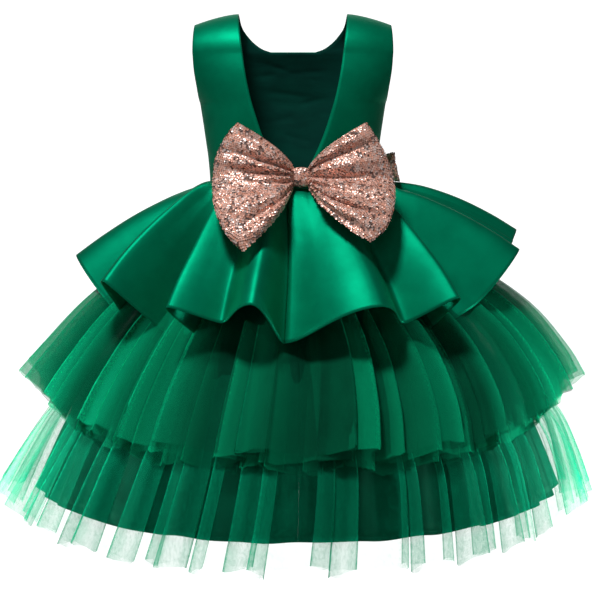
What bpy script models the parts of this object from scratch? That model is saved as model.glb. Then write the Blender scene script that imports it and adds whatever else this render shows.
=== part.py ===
"""Child's sleeveless ball gown with an open back, a flounce, two net tiers and a sequin bow.

The gown is hollow and stands as if worn. Metres, +Z up. The origin is midway between the
shoulders, level with the top of the straps. -Y is the open back with the bow, +X is the
wearer's right. Angles around the body start at the centre back and turn towards +X.
"""
import math
from collections import namedtuple

import bpy
import bmesh
from mathutils import Vector

MM = 0.001
SEAM_GAP = 0.3 * MM
SHARP_EDGE_DEG = 60

# Cloth walls
SATIN_WALL = 1.4 * MM
LINING_WALL = 1.0 * MM
NET_WALL = 1.3 * MM
SEQUIN_WALL = 1.2 * MM

# Bodice sizes
SHOULDER_BEND = -45.0
NECK_HALF_WIDTH = 64.5
SHOULDER_SLOPE = 13.0
SHOULDER_NARROWING = 1.5
BODICE_SQUARENESS = 2.3
BACK_COLUMNS = 7
STRAP_COLUMNS = 4
CHEST_COLUMNS = 7
BACK_HEIGHTS = (-202.7, -190, -175, -160, -143, -125, -108, -100, -86, -66, -45)
FRONT_HEIGHTS = (-202.7, -172, -140, -108, -100, -86, -66, -45)
BACK_BENDS = (25, 55, 90)
FRONT_BENDS = (4, 12, 25, 55, 90)

# The torso form in millimetres, a row for each height. Above the underarm the edge is the
# armhole, which lies edge_back or edge_front away from the side line.
Torso = namedtuple("Torso", "height edge_x edge_back edge_front back_depth front_depth")
TORSO = (
    Torso(-202.7, 98.5, 0, 0, 73.5, 73.5),
    Torso(-175, 100.5, 0, 0, 72.5, 76),
    Torso(-145, 104.5, 0, 0, 73, 77),
    Torso(-108, 110, 0, 0, 73.5, 76),
    Torso(-100, 111.5, 18, 16, 73, 74.5),
    Torso(-86, 113.5, 30, 27, 71.5, 71),
    Torso(-66, 116.5, 37, 33, 68, 66),
    Torso(-45, 118, 40, 36, 62, 58),
)

# Half widths of the open V at the back and of the round neckline at the front
Edge = namedtuple("Edge", "height half_width")
BACK_V = (
    Edge(-202.7, 0.15),
    Edge(-185, 14.5),
    Edge(-163, 26.5),
    Edge(-142, 35.5),
    Edge(-120, 43),
    Edge(-98, 49.5),
    Edge(-72, 55),
    Edge(-45, 59),
    Edge(0, 64.5),
)
FRONT_NECK = (
    Edge(-45, 27),
    Edge(-42, 36),
    Edge(-36, 45),
    Edge(-28, 53),
    Edge(-16, 61),
    Edge(0, 64.5),
)

# Skirt layers in millimetres, a row for each section from the waist to the hem. The height
# goes from back_z at the centre to side_z at the side; lean moves the section towards +X.
Section = namedtuple("Section", "along half_width side_z half_depth back_z lean squareness")
PEPLUM = (
    Section(0.00, 98.5, -203, 73.5, -203, 0, 2.3),
    Section(0.10, 116, -205, 88, -208, 1, 2.25),
    Section(0.20, 134, -210, 101, -221, 2, 2.2),
    Section(0.35, 160, -220, 118, -243, 4, 2.1),
    Section(0.55, 196, -238, 139, -273, 5, 2),
    Section(0.78, 234, -262, 162, -308, 5, 2),
    Section(1.00, 265, -285, 183, -341, 4, 2),
)
NET_UPPER = (
    Section(0.00, 97.8, -204.9, 72.8, -204.9, 0, 2.3),
    Section(0.08, 114, -222, 83, -234, 1, 2.2),
    Section(0.20, 147, -253, 98, -271, 4, 2.1),
    Section(0.38, 195, -296, 119, -326, 12, 2),
    Section(0.60, 257, -350, 156, -386, 18, 2),
    Section(0.82, 299, -403, 205, -443, 17, 2),
    Section(1.00, 318, -434, 246, -489, 13, 2),
)
UNDERSKIRT = (
    Section(0.00, 96.6, -206.4, 71.8, -206.4, 0, 2.3),
    Section(0.10, 110, -232, 80, -240, 1, 2.2),
    Section(0.28, 142, -285, 99, -300, 3, 2.1),
    Section(0.50, 186, -352, 131, -370, 6, 2),
    Section(0.68, 228, -412, 166, -425, 8, 2),
    Section(0.84, 266, -480, 203, -495, 10, 2),
    Section(1.00, 297, -566, 236, -590, 11, 2),
)
NET_LOWER = (
    Section(0.20, 266, -430, 200, -460, 10, 2),
    Section(0.45, 303, -475, 238, -510, 12, 2),
    Section(0.75, 328, -525, 272, -566, 7, 2),
    Section(1.00, 346, -569, 296, -613, 1, 2),
)
NET_LOWER_SEAM = (0.64, 0.675)
NET_LOWER_LIFT = 0.6 * MM

# How sharply each layer's hem rises at the sides
PEPLUM_SIDE_RISE = 8
NET_SIDE_RISE = 4
UNDERSKIRT_SIDE_RISE = 3

# The flounce's folds: angle in degrees, reach out or in at the hem in millimetres, and the
# extra length that hangs there
Fold = namedtuple("Fold", "angle reach drop")
PEPLUM_FOLDS = (
    Fold(-104, -18, 0),
    Fold(-89, -4, 0),
    Fold(-72, -20, 2),
    Fold(-57, 20, 0),
    Fold(-42, -26, 8),
    Fold(-30, 24, 0),
    Fold(-21, -18, 0),
    Fold(-11, 20, 0),
    Fold(-3, -24, 20),
    Fold(14, 24, 0),
    Fold(26, -20, 0),
    Fold(43, 26, 0),
    Fold(55, -22, 0),
    Fold(76, 34, 0),
    Fold(92, -8, 0),
    Fold(105, 18, 0),
    Fold(118, -20, 0),
    Fold(131, 22, 0),
    Fold(145, -22, 0),
    Fold(159, 22, 0),
    Fold(173, -22, 8),
    Fold(187, 22, 0),
    Fold(201, -22, 0),
    Fold(215, 22, 0),
    Fold(229, -22, 0),
    Fold(243, 18, 0),
    Fold(256, -18, 0),
)
PEPLUM_PANELS = (
    ("peplum_back_left", -104, -3),
    ("peplum_back_right", -3, 92),
    ("peplum_front", 92, 256),
)
PANEL_ENDS = (("back_left", -90, 0), ("back_right", 0, 90), ("front", 90, 270))
UNDERSKIRT_PANELS = (
    ("underskirt_back_left", -90, 0),
    ("underskirt_back_right", 0, 90),
    ("underskirt_front_right", 90, 180),
    ("underskirt_front_left", 180, 270),
)
PEPLUM_FOLD_GROWTH = 0.85
NET_FOLD_GROWTH = 1.3
UNDERSKIRT_FOLD_GROWTH = 1.2
PEPLUM_STEPS = 5
NET_STEPS = 2
UNDERSKIRT_STEPS = 2
NET_UPPER_GATHERS = 9
NET_LOWER_GATHERS = 10
UNDERSKIRT_GATHERS = 5
NET_UPPER_REACH = 8.0
NET_LOWER_REACH = 9.0
UNDERSKIRT_REACH = 6.0
PEPLUM_ROWS = (0, 0.1, 0.22, 0.38, 0.58, 0.79, 1)
NET_UPPER_ROWS = (0, 0.1, 0.32, 0.66, 1)
NET_LOWER_ROWS = (0.25, 0.6, 1)
UNDERSKIRT_ROWS = (0, 0.1, 0.34, 0.62, 0.68, 0.84, 1)
UNDERSKIRT_FOLD_START = 0.68
FACE_STEP = 0.02

# How unevenly the gathers come: swing and pitch of their widths, then of their reach
GATHER_WIDTH_SWING = 0.32
GATHER_WIDTH_PITCH = 2.4
GATHER_REACH_SWING = 0.3
GATHER_REACH_PITCH = 1.7

# A bow in millimetres from the middle of its knot. A row gives a place on a loop's outer
# edge, from the lower tip at place -1 to the upper tip at place 1.
LoopEdge = namedtuple("LoopEdge", "place reach height")
BACK_LEFT_EDGE = (
    LoopEdge(-1.0, 66, -80),
    LoopEdge(-0.75, 83, -64),
    LoopEdge(-0.4, 97, -38),
    LoopEdge(0.0, 102, -8),
    LoopEdge(0.4, 99, 22),
    LoopEdge(0.75, 87, 48),
    LoopEdge(1.0, 74, 63),
)
BACK_RIGHT_EDGE = (
    LoopEdge(-1.0, 79, -70),
    LoopEdge(-0.75, 95, -57),
    LoopEdge(-0.4, 105, -36),
    LoopEdge(0.0, 108, -9),
    LoopEdge(0.4, 101, 20),
    LoopEdge(0.75, 87, 47),
    LoopEdge(1.0, 76, 63),
)
SIDE_EDGE = (
    LoopEdge(-1.0, 47, -15),
    LoopEdge(-0.4, 49, -8),
    LoopEdge(0.3, 45, 6),
    LoopEdge(1.0, 37, 19),
)

# How far a loop stands off at each height, where it lies over the flounce or the bodice
Lean = namedtuple("Lean", "height stand_off")
BACK_LEAN = (
    Lean(-95, 85),
    Lean(-57, 63),
    Lean(-33, 46),
    Lean(-18, 31),
    Lean(-8, 14),
    Lean(0, 4),
    Lean(70, 9),
)
SIDE_LEAN = (
    Lean(-20, 6),
    Lean(0, 0),
    Lean(20, 2),
)

Bow = namedtuple(
    "Bow",
    "centre facing_deg knot_width knot_height knot_depth pleats pleat_depth puff fold swing lean",
)
BACK_BOW = Bow(
    centre=Vector((9.5, -80.0, -190.0)),
    facing_deg=0,
    knot_width=15.5,
    knot_height=22,
    knot_depth=12,
    pleats=5,
    pleat_depth=3.2,
    puff=14,
    fold=4.5,
    swing=4,
    lean=BACK_LEAN,
)
SIDE_BOW = Bow(
    centre=Vector((95.6, 36.6, -184.0)),
    facing_deg=115,
    knot_width=9,
    knot_height=16,
    knot_depth=9,
    pleats=2,
    pleat_depth=1.2,
    puff=4,
    fold=3.2,
    swing=8,
    lean=SIDE_LEAN,
)

# Shape of a loop: how it fans out from the knot, puffs and folds back
LOOP_SPREAD = 0.57
LOOP_WAYS = (0.0, 0.1, 0.28, 0.5, 0.74, 0.91, 1.0)
LOOP_STEPS_PER_PLEAT = 3
LOOP_START = 1.0
LOOP_SIDE_CLEARANCE = 0.5
LOOP_MIN_DEPTH = 1.45
LOOP_ROOT_EASE = 0.6
LEAN_RAMP = 5.5
PUFF_EASE = 0.8
PUFF_EDGE_LOSS = 0.45
PUFF_BACK_SHARE = 0.12
PLEAT_RISE = 0.5
PLEAT_FADE = 0.7
PLEAT_PEAK = 1.9
PLEAT_BACK_SHARE = 0.4
KNOT_SIDES = 14
KNOT_PLACES = (-1, -0.4, 0.4, 1)
KNOT_TAPER = 0.12
KNOT_SQUARENESS = 2.5

MATERIALS = {
    "satin": ((0.0, 0.235, 0.125, 1.0), 0.36, 0.0),
    "lining": ((0.0, 0.022, 0.014, 1.0), 0.85, 0.0),
    "net": ((0.0, 0.19, 0.085, 1.0), 0.75, 0.0),
    "sequin": ((0.62, 0.36, 0.30, 1.0), 0.28, 0.75),
}


def clear_scene():
    """Remove whatever the opening scene holds."""
    for item in list(bpy.data.objects):
        bpy.data.objects.remove(item, do_unlink=True)


def make_material(name):
    """Return a plain Principled material of the table's colour."""
    colour, roughness, metallic = MATERIALS[name]
    material = bpy.data.materials.get(name) or bpy.data.materials.new(name)
    material.use_nodes = True
    shader = material.node_tree.nodes["Principled BSDF"]
    shader.inputs["Base Color"].default_value = colour
    shader.inputs["Roughness"].default_value = roughness
    shader.inputs["Metallic"].default_value = metallic
    material.diffuse_color = colour
    return material


def between(rows, key, at):
    """Return a table row worked out at a key's value on a smooth curve through the rows."""
    keys = [getattr(row, key) for row in rows]
    at = min(max(at, keys[0]), keys[-1])
    low = 0
    while low < len(keys) - 2 and at > keys[low + 1]:
        low += 1
    span = keys[low + 1] - keys[low]
    part = (at - keys[low]) / span
    before = max(low - 1, 0)
    after = min(low + 2, len(rows) - 1)
    values = []
    for field in rows[0]._fields:
        start = getattr(rows[low], field)
        end = getattr(rows[low + 1], field)
        slope_in = (end - getattr(rows[before], field)) / (keys[low + 1] - keys[before])
        slope_out = (getattr(rows[after], field) - start) / (keys[after] - keys[low])
        values.append(
            start * (1 + 2 * part) * (1 - part) ** 2
            + end * part * part * (3 - 2 * part)
            + slope_in * span * part * (1 - part) ** 2
            - slope_out * span * part * part * (1 - part)
        )
    return type(rows[0])(*values)


def signed_power(value, power):
    """Raise a value's size to a power and keep its sign."""
    return math.copysign(abs(value) ** power, value)


def grid_normals(grid, around):
    """Return a unit normal for each point of a grid, from its neighbours."""
    rows = len(grid)
    columns = len(grid[0])
    normals = []
    for i in range(rows):
        line = []
        for j in range(columns):
            if around:
                left = grid[i][(j - 1) % columns]
                right = grid[i][(j + 1) % columns]
            else:
                left = grid[i][max(j - 1, 0)]
                right = grid[i][min(j + 1, columns - 1)]
            above = grid[max(i - 1, 0)][j]
            below = grid[min(i + 1, rows - 1)][j]
            line.append((right - left).cross(above - below).normalized())
        normals.append(line)
    return normals


def ease_seams(grid):
    """Draw a panel's two side edges in by half a seam gap."""
    for line in grid:
        first = (line[1] - line[0]).normalized() * SEAM_GAP / 2
        last = (line[-2] - line[-1]).normalized() * SEAM_GAP / 2
        line[0] = line[0] + first
        line[-1] = line[-1] + last
    return grid


def offset_grid(grid, distance, around=False):
    """Return a grid moved along its normals."""
    normals = grid_normals(grid, around)
    moved = []
    for line, directions in zip(grid, normals):
        moved.append([point + way * distance for point, way in zip(line, directions)])
    return moved


def cloth_wall(name, grid, wall, material, around=False, skip=None, trim=None):
    """Make one closed cloth wall whose outer face is the grid.

    A cell for which skip(row, column) is true is left open, with edges round it. trim holds
    the inner face's points off a seam.
    """
    inner = offset_grid(grid, -wall, around)
    if trim:
        inner = [[trim(point) for point in line] for line in inner]
    mesh = bpy.data.meshes.new(name)
    work = bmesh.new()
    layers = []
    for layer in (grid, inner):
        layers.append([[work.verts.new(point) for point in line] for line in layer])
    outer_verts, inner_verts = layers
    rows = len(grid) - 1
    columns = len(grid[0]) if around else len(grid[0]) - 1
    wrap = len(grid[0])

    def is_cloth(i, j):
        """Say whether a cell of the grid is part of the wall."""
        if around:
            j = j % wrap
        if not (0 <= i < rows and 0 <= j < columns):
            return False
        return skip is None or not skip(i, j)

    for i in range(rows):
        for j in range(columns):
            if not is_cloth(i, j):
                continue
            k = (j + 1) % wrap
            corners = ((i, j), (i, k), (i + 1, k), (i + 1, j))
            work.faces.new([outer_verts[a][b] for a, b in corners])
            work.faces.new([inner_verts[a][b] for a, b in reversed(corners)])
            sides = (
                (is_cloth(i - 1, j), (i, j), (i, k)),
                (is_cloth(i + 1, j), (i + 1, k), (i + 1, j)),
                (is_cloth(i, j - 1), (i + 1, j), (i, j)),
                (is_cloth(i, j + 1), (i, k), (i + 1, k)),
            )
            for joined, start, end in sides:
                if joined:
                    continue
                work.faces.new([
                    outer_verts[end[0]][end[1]],
                    outer_verts[start[0]][start[1]],
                    inner_verts[start[0]][start[1]],
                    inner_verts[end[0]][end[1]],
                ])
    loose = [vert for vert in work.verts if not vert.link_faces]
    bmesh.ops.delete(work, geom=loose, context="VERTS")
    bmesh.ops.triangulate(work, faces=work.faces[:])
    bmesh.ops.recalc_face_normals(work, faces=work.faces[:])
    work.to_mesh(mesh)
    work.free()
    mesh.shade_smooth()
    mesh.set_sharp_from_angle(angle=math.radians(SHARP_EDGE_DEG))
    piece = bpy.data.objects.new(name, mesh)
    bpy.context.collection.objects.link(piece)
    piece.data.materials.append(make_material(material))
    return piece


def torso_size(row, side):
    """Return the half depth and half width of the form at a row: side is -1 at the back."""
    depth = row.back_depth if side < 0 else row.front_depth
    edge_y = max(row.edge_back if side < 0 else row.edge_front, 0.0)
    left = 1 - (edge_y / depth) ** BODICE_SQUARENESS
    return depth, row.edge_x / left ** (1 / BODICE_SQUARENESS)


def torso_point(row, side, turn, bend=0.0):
    """Return a bodice point: side is -1 at the back and 1 at the front, turn its angle."""
    depth, form = torso_size(row, side)
    share = 2 / BODICE_SQUARENESS
    x = form * signed_power(math.sin(turn), share)
    y = side * depth * max(math.cos(turn), 0.0) ** share
    z = row.height
    if bend > 0:
        outward = max(abs(x) - NECK_HALF_WIDTH, 0.0) / (row.edge_x - NECK_HALF_WIDTH)
        top = -SHOULDER_SLOPE * outward ** 1.5
        z = SHOULDER_BEND + (top - SHOULDER_BEND) * math.sin(bend)
        x -= math.copysign(SHOULDER_NARROWING * outward * math.sin(bend) ** 2, x)
        y *= math.cos(bend)
    return Vector((x, y, z)) * MM


def torso_turns(row, side, inner_x):
    """Return the turn angles of an inner edge and of the side seam or armhole edge."""
    form = torso_size(row, side)[1]
    power = BODICE_SQUARENESS / 2
    inner = math.asin((inner_x / form) ** power)
    outer = math.asin(min((row.edge_x / form) ** power, 1.0))
    return inner, outer


def bodice_levels(heights, bends):
    """Return a torso row and a bend for each level, up the body and over the shoulder."""
    levels = [(between(TORSO, "height", height), 0.0) for height in heights]
    levels += [(TORSO[-1], math.radians(bend)) for bend in bends]
    return levels


def edge_height(bend):
    """Return the neck edge's height on the bend over the shoulder."""
    return SHOULDER_BEND * (1 - math.sin(bend))


def back_bodice(name, hand):
    """Make one back panel, from the open V to the side seam and over the shoulder."""
    grid = []
    for row, bend in bodice_levels(BACK_HEIGHTS, BACK_BENDS):
        level = edge_height(bend) if bend > 0 else row.height
        inner, outer = torso_turns(row, -1, between(BACK_V, "height", level).half_width)
        line = []
        for j in range(BACK_COLUMNS + 1):
            point = torso_point(row, -1, inner + (outer - inner) * j / BACK_COLUMNS, bend)
            line.append(Vector((point.x * hand, point.y, point.z)))
        grid.append(line if hand > 0 else line[::-1])
    grid = finish_bodice(grid, -1)
    return cloth_wall(name, grid, SATIN_WALL, "satin", trim=seam_trim(-1))


def seam_trim(side):
    """Return a function that holds a point off the shoulder and side seams."""
    limit = SEAM_GAP / 2

    def trim(point):
        """Keep a point on its own side of the seams."""
        return Vector((point.x, side * max(side * point.y, limit), point.z))

    return trim


def finish_bodice(grid, side):
    """Turn a bodice grid top first and hold it off the shoulder and side seams."""
    trim = seam_trim(side)
    return [[trim(point) for point in line] for line in grid[::-1]]


def front_grid():
    """Return the front panel's grid, across the chest and up both straps."""
    grid = []
    for row, bend in bodice_levels(FRONT_HEIGHTS, FRONT_BENDS):
        level = edge_height(bend) if bend > 0 else SHOULDER_BEND
        neck, outer = torso_turns(row, 1, between(FRONT_NECK, "height", level).half_width)
        turns = [-outer + (outer - neck) * j / STRAP_COLUMNS for j in range(STRAP_COLUMNS)]
        turns += [-neck + 2 * neck * j / CHEST_COLUMNS for j in range(CHEST_COLUMNS)]
        turns += [neck + (outer - neck) * j / STRAP_COLUMNS for j in range(STRAP_COLUMNS + 1)]
        line = [torso_point(row, 1, -turn, bend) for turn in turns]
        grid.append(line)
    return finish_bodice(grid, 1)


def above_neckline(i, j):
    """Say whether a cell of the front grid lies in the neck opening."""
    return i < len(FRONT_BENDS) and STRAP_COLUMNS <= j < STRAP_COLUMNS + CHEST_COLUMNS


def front_bodice():
    """Make the front panel and the lining that shows through the open back."""
    grid = front_grid()
    trim = seam_trim(1)
    cloth_wall("bodice_front", grid, SATIN_WALL, "satin", skip=above_neckline, trim=trim)
    lining = offset_grid(grid, -(SATIN_WALL + SEAM_GAP))
    lining = [[trim(point) for point in line] for line in lining]
    cloth_wall(
        "bodice_front_lining", lining, LINING_WALL, "lining", skip=above_neckline, trim=trim
    )


def skirt_base(sections, side_rise, angle, along):
    """Return a point of a skirt layer without its folds."""
    row = between(sections, "along", along)
    share = 2 / row.squareness
    sine = math.sin(angle)
    x = row.lean + row.half_width * signed_power(sine, share)
    y = -row.half_depth * signed_power(math.cos(angle), share)
    z = row.back_z + (row.side_z - row.back_z) * abs(sine) ** side_rise
    return Vector((x, y, z)) * MM


def skirt_point(sections, side_rise, angle, along, push):
    """Return a skirt point pushed out along the layer's own face by some metres."""
    ahead = skirt_base(sections, side_rise, angle + FACE_STEP, along)
    behind = skirt_base(sections, side_rise, angle - FACE_STEP, along)
    high = skirt_base(sections, side_rise, angle, along - FACE_STEP)
    low = skirt_base(sections, side_rise, angle, along + FACE_STEP)
    outward = (ahead - behind).cross(high - low).normalized()
    return skirt_base(sections, side_rise, angle, along) + outward * push


def gather_folds(start, end, count, reach):
    """Return uneven folds between two seams, with a valley at each seam."""
    widths = []
    for i in range(2 * count):
        widths.append(1 + GATHER_WIDTH_SWING * math.sin(GATHER_WIDTH_PITCH * i + start))
    total = sum(widths)
    folds = [Fold(start, -reach, 0)]
    angle = start
    for i, width in enumerate(widths):
        angle += (end - start) * width / total
        way = 1 if i % 2 == 0 else -1
        size = 1 + GATHER_REACH_SWING * math.sin(GATHER_REACH_PITCH * i + end)
        folds.append(Fold(angle, way * reach * size, 0))
    folds[-1] = Fold(end, -reach, 0)
    return folds


def fold_columns(folds, steps):
    """Return columns of angle, reach and drop along half waves between the folds."""
    columns = []
    for first, second in zip(folds, folds[1:]):
        for k in range(steps):
            part = k / steps
            ease = (1 - math.cos(math.pi * part)) / 2
            columns.append(Fold(
                math.radians(first.angle + (second.angle - first.angle) * part),
                (first.reach + (second.reach - first.reach) * ease) * MM,
                (first.drop + (second.drop - first.drop) * ease) * MM,
            ))
    last = folds[-1]
    columns.append(Fold(math.radians(last.angle), last.reach * MM, last.drop * MM))
    return columns


def skirt_grid(sections, side_rise, columns, rows, growth, start=0.0):
    """Return the grid of one skirt panel, waist first; its folds grow from start."""
    grid = []
    for along in rows:
        size = (max(along - start, 0.0) / (1 - start)) ** growth
        line = []
        for column in columns:
            point = skirt_point(sections, side_rise, column.angle, along, column.reach * size)
            line.append(point - Vector((0, 0, column.drop * size * size)))
        grid.append(line)
    return grid


def make_peplum():
    """Make the satin flounce's three panels."""
    for name, start, end in PEPLUM_PANELS:
        folds = [fold for fold in PEPLUM_FOLDS if start <= fold.angle <= end]
        columns = fold_columns(folds, PEPLUM_STEPS)
        grid = skirt_grid(PEPLUM, PEPLUM_SIDE_RISE, columns, PEPLUM_ROWS, PEPLUM_FOLD_GROWTH)
        cloth_wall(name, ease_seams(grid), SATIN_WALL, "satin")


def make_upper_net():
    """Make the upper net tier's three panels."""
    for end_name, start, end in PANEL_ENDS:
        count = round(NET_UPPER_GATHERS * (end - start) / 90)
        folds = gather_folds(start, end, count, NET_UPPER_REACH)
        columns = fold_columns(folds, NET_STEPS)
        grid = skirt_grid(NET_UPPER, NET_SIDE_RISE, columns, NET_UPPER_ROWS, NET_FOLD_GROWTH)
        cloth_wall("net_upper_" + end_name, ease_seams(grid), NET_WALL, "net")


def make_underskirt():
    """Make the satin underskirt's four panels."""
    for name, start, end in UNDERSKIRT_PANELS:
        folds = gather_folds(start, end, UNDERSKIRT_GATHERS, UNDERSKIRT_REACH)
        columns = fold_columns(folds, UNDERSKIRT_STEPS)
        grid = skirt_grid(
            UNDERSKIRT,
            UNDERSKIRT_SIDE_RISE,
            columns,
            UNDERSKIRT_ROWS,
            UNDERSKIRT_FOLD_GROWTH,
            UNDERSKIRT_FOLD_START,
        )
        cloth_wall(name, ease_seams(grid), SATIN_WALL, "satin")


def make_lower_net():
    """Make the lower net tier, whose top edge is sewn on the underskirt."""
    lift = NET_LOWER_LIFT + NET_WALL
    for end_name, start, end in PANEL_ENDS:
        count = round(NET_LOWER_GATHERS * (end - start) / 90)
        columns = fold_columns(gather_folds(start, end, count, NET_LOWER_REACH), NET_STEPS)
        seam = []
        for along in NET_LOWER_SEAM:
            seam.append([
                skirt_point(UNDERSKIRT, UNDERSKIRT_SIDE_RISE, column.angle, along, lift)
                for column in columns
            ])
        grid = seam + skirt_grid(
            NET_LOWER, NET_SIDE_RISE, columns, NET_LOWER_ROWS, NET_FOLD_GROWTH
        )
        cloth_wall("net_lower_" + end_name, ease_seams(grid), NET_WALL, "net")


def bow_axes(bow):
    """Return a bow's own directions: along its span and away from the body."""
    facing = math.radians(bow.facing_deg)
    outward = Vector((math.sin(facing), -math.cos(facing), 0))
    span = Vector((math.cos(facing), math.sin(facing), 0))
    return span, outward


def root_size(bow):
    """Return the half height and half depth of the gathered cloth inside the knot."""
    thick = (SEQUIN_WALL + SEAM_GAP) / MM
    half_height = bow.knot_height / 2 * (1 - KNOT_TAPER) - thick - LOOP_ROOT_EASE
    half_depth = bow.knot_depth / 2 * (1 - KNOT_TAPER) - thick
    return half_height, half_depth


def loop_point(bow, edge_rows, hand, way, across, layer):
    """Return a point of a bow loop.

    way runs from the knot's side at 0 to the outer fold at 1, and is below 0 inside the
    knot. across runs from the lower edge at -1 to the upper edge at 1, and layer is 1 on the
    outer face and -1 on the face by the body.
    """
    edge = between(edge_rows, "place", across)
    root_height, root_depth = root_size(bow)
    side = bow.knot_width / 2 + LOOP_SIDE_CLEARANCE
    out = max(way, 0.0)
    reach = LOOP_START if way < 0 else side + (edge.reach - side) * way
    height = root_height * across + (edge.height - root_height * across) * out ** LOOP_SPREAD
    gather = root_depth * (1 - abs(across) ** KNOT_SQUARENESS) ** (1 / KNOT_SQUARENESS)
    gather = max(gather, LOOP_MIN_DEPTH) * (1 - out)
    gather += bow.fold * math.sqrt(out) * math.sqrt(1 - out ** 4)
    puff = bow.puff * math.sin(math.pi * out ** PUFF_EASE) ** PUFF_EASE
    puff *= 1 - PUFF_EDGE_LOSS * across * across
    pleat = bow.pleat_depth * math.cos(math.pi * bow.pleats * across)
    pleat *= PLEAT_PEAK * out ** PLEAT_RISE * (1 - out) ** PLEAT_FADE
    depth = between(bow.lean, "height", height).stand_off * min(out * LEAN_RAMP, 1.0)
    depth += bow.swing * out
    if layer > 0:
        depth += gather + puff + pleat
    else:
        depth -= gather + PUFF_BACK_SHARE * puff - PLEAT_BACK_SHARE * pleat
    span, outward = bow_axes(bow)
    local = span * (hand * reach) + outward * depth + Vector((0, 0, height))
    return (bow.centre + local) * MM


def bow_loop(name, bow, edge_rows, hand):
    """Make one loop: a strip from the knot out to a fold and back, open above and below."""
    steps = bow.pleats * LOOP_STEPS_PER_PLEAT
    places = [1 - 2 * k / steps for k in range(steps + 1)]
    ways = [(way, 1) for way in (-1,) + LOOP_WAYS]
    ways += [(way, -1) for way in LOOP_WAYS[-2::-1] + (-1,)]
    grid = []
    for across in places:
        line = [loop_point(bow, edge_rows, hand, way, across, layer) for way, layer in ways]
        grid.append(line if hand > 0 else line[::-1])
    return cloth_wall(name, grid, SEQUIN_WALL, "sequin")


def bow_knot(name, bow):
    """Make the knot: a short band wrapped round the loops' gathered roots."""
    span, outward = bow_axes(bow)
    share = 2 / KNOT_SQUARENESS
    grid = []
    for place in KNOT_PLACES:
        taper = 1 - KNOT_TAPER * place * place
        line = []
        for k in range(KNOT_SIDES):
            angle = 2 * math.pi * k / KNOT_SIDES
            up = bow.knot_height / 2 * taper * signed_power(math.sin(angle), share)
            out = bow.knot_depth / 2 * taper * signed_power(math.cos(angle), share)
            local = span * (place * bow.knot_width / 2) + outward * out + Vector((0, 0, up))
            line.append((bow.centre + local) * MM)
        grid.append(line)
    return cloth_wall(name, grid, SEQUIN_WALL, "sequin", around=True)


def make_bows():
    """Make the large bow at the back and the small one at the wearer's right."""
    bow_loop("bow_loop_left", BACK_BOW, BACK_LEFT_EDGE, -1)
    bow_loop("bow_loop_right", BACK_BOW, BACK_RIGHT_EDGE, 1)
    bow_knot("bow_knot", BACK_BOW)
    bow_loop("side_bow_loop_back", SIDE_BOW, SIDE_EDGE, -1)
    bow_loop("side_bow_loop_front", SIDE_BOW, SIDE_EDGE, 1)
    bow_knot("side_bow_knot", SIDE_BOW)


def main():
    """Build the gown."""
    clear_scene()
    back_bodice("bodice_back_left", -1)
    back_bodice("bodice_back_right", 1)
    front_bodice()
    make_peplum()
    make_upper_net()
    make_underskirt()
    make_lower_net()
    make_bows()


main()
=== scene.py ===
"""Looks of a child's ball gown, seen from its open back with the large sequin bow.

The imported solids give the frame. Each piece of cloth here is a fine shell or sheet on its
solid's form and replaces it. Sizes are in millimetres in the tables and turned into metres
where points are made. +Z is up, -Y is the open back, +X is the wearer's right. Angles round
the body start at the centre back and turn towards +X.
"""
from __future__ import annotations

import logging
import math
from dataclasses import dataclass
from enum import Enum
from itertools import product
from typing import Any, Mapping, NamedTuple, Optional, Sequence, Union

import bpy
import numpy as np
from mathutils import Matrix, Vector


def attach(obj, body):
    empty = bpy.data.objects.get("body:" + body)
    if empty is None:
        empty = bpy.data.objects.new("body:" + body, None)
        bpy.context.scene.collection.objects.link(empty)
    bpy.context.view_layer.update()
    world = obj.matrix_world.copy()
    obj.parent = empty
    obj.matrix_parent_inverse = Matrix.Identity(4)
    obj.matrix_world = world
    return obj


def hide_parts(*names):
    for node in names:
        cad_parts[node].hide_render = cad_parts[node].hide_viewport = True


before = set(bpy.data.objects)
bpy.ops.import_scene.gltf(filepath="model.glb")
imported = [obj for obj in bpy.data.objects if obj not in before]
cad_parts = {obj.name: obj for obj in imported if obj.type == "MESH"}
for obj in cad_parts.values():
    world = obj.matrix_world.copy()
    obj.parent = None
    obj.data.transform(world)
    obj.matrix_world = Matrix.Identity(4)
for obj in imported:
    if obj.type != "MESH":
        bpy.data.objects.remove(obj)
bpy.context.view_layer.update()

LOG = logging.getLogger("gown")
MM = 0.001
TURN = 2 * math.pi
SEAM_GAP = 0.3 * MM
TINY = 1e-12
NOISE_ROUGHNESS = 0.55
RING_START = -90.0

Colour = tuple[float, float, float, float]
Grid = np.ndarray
Material = bpy.types.Material
Piece = bpy.types.Object
Socket = bpy.types.NodeSocket
Operand = Union["Signal", float]


# Shader maths


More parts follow.
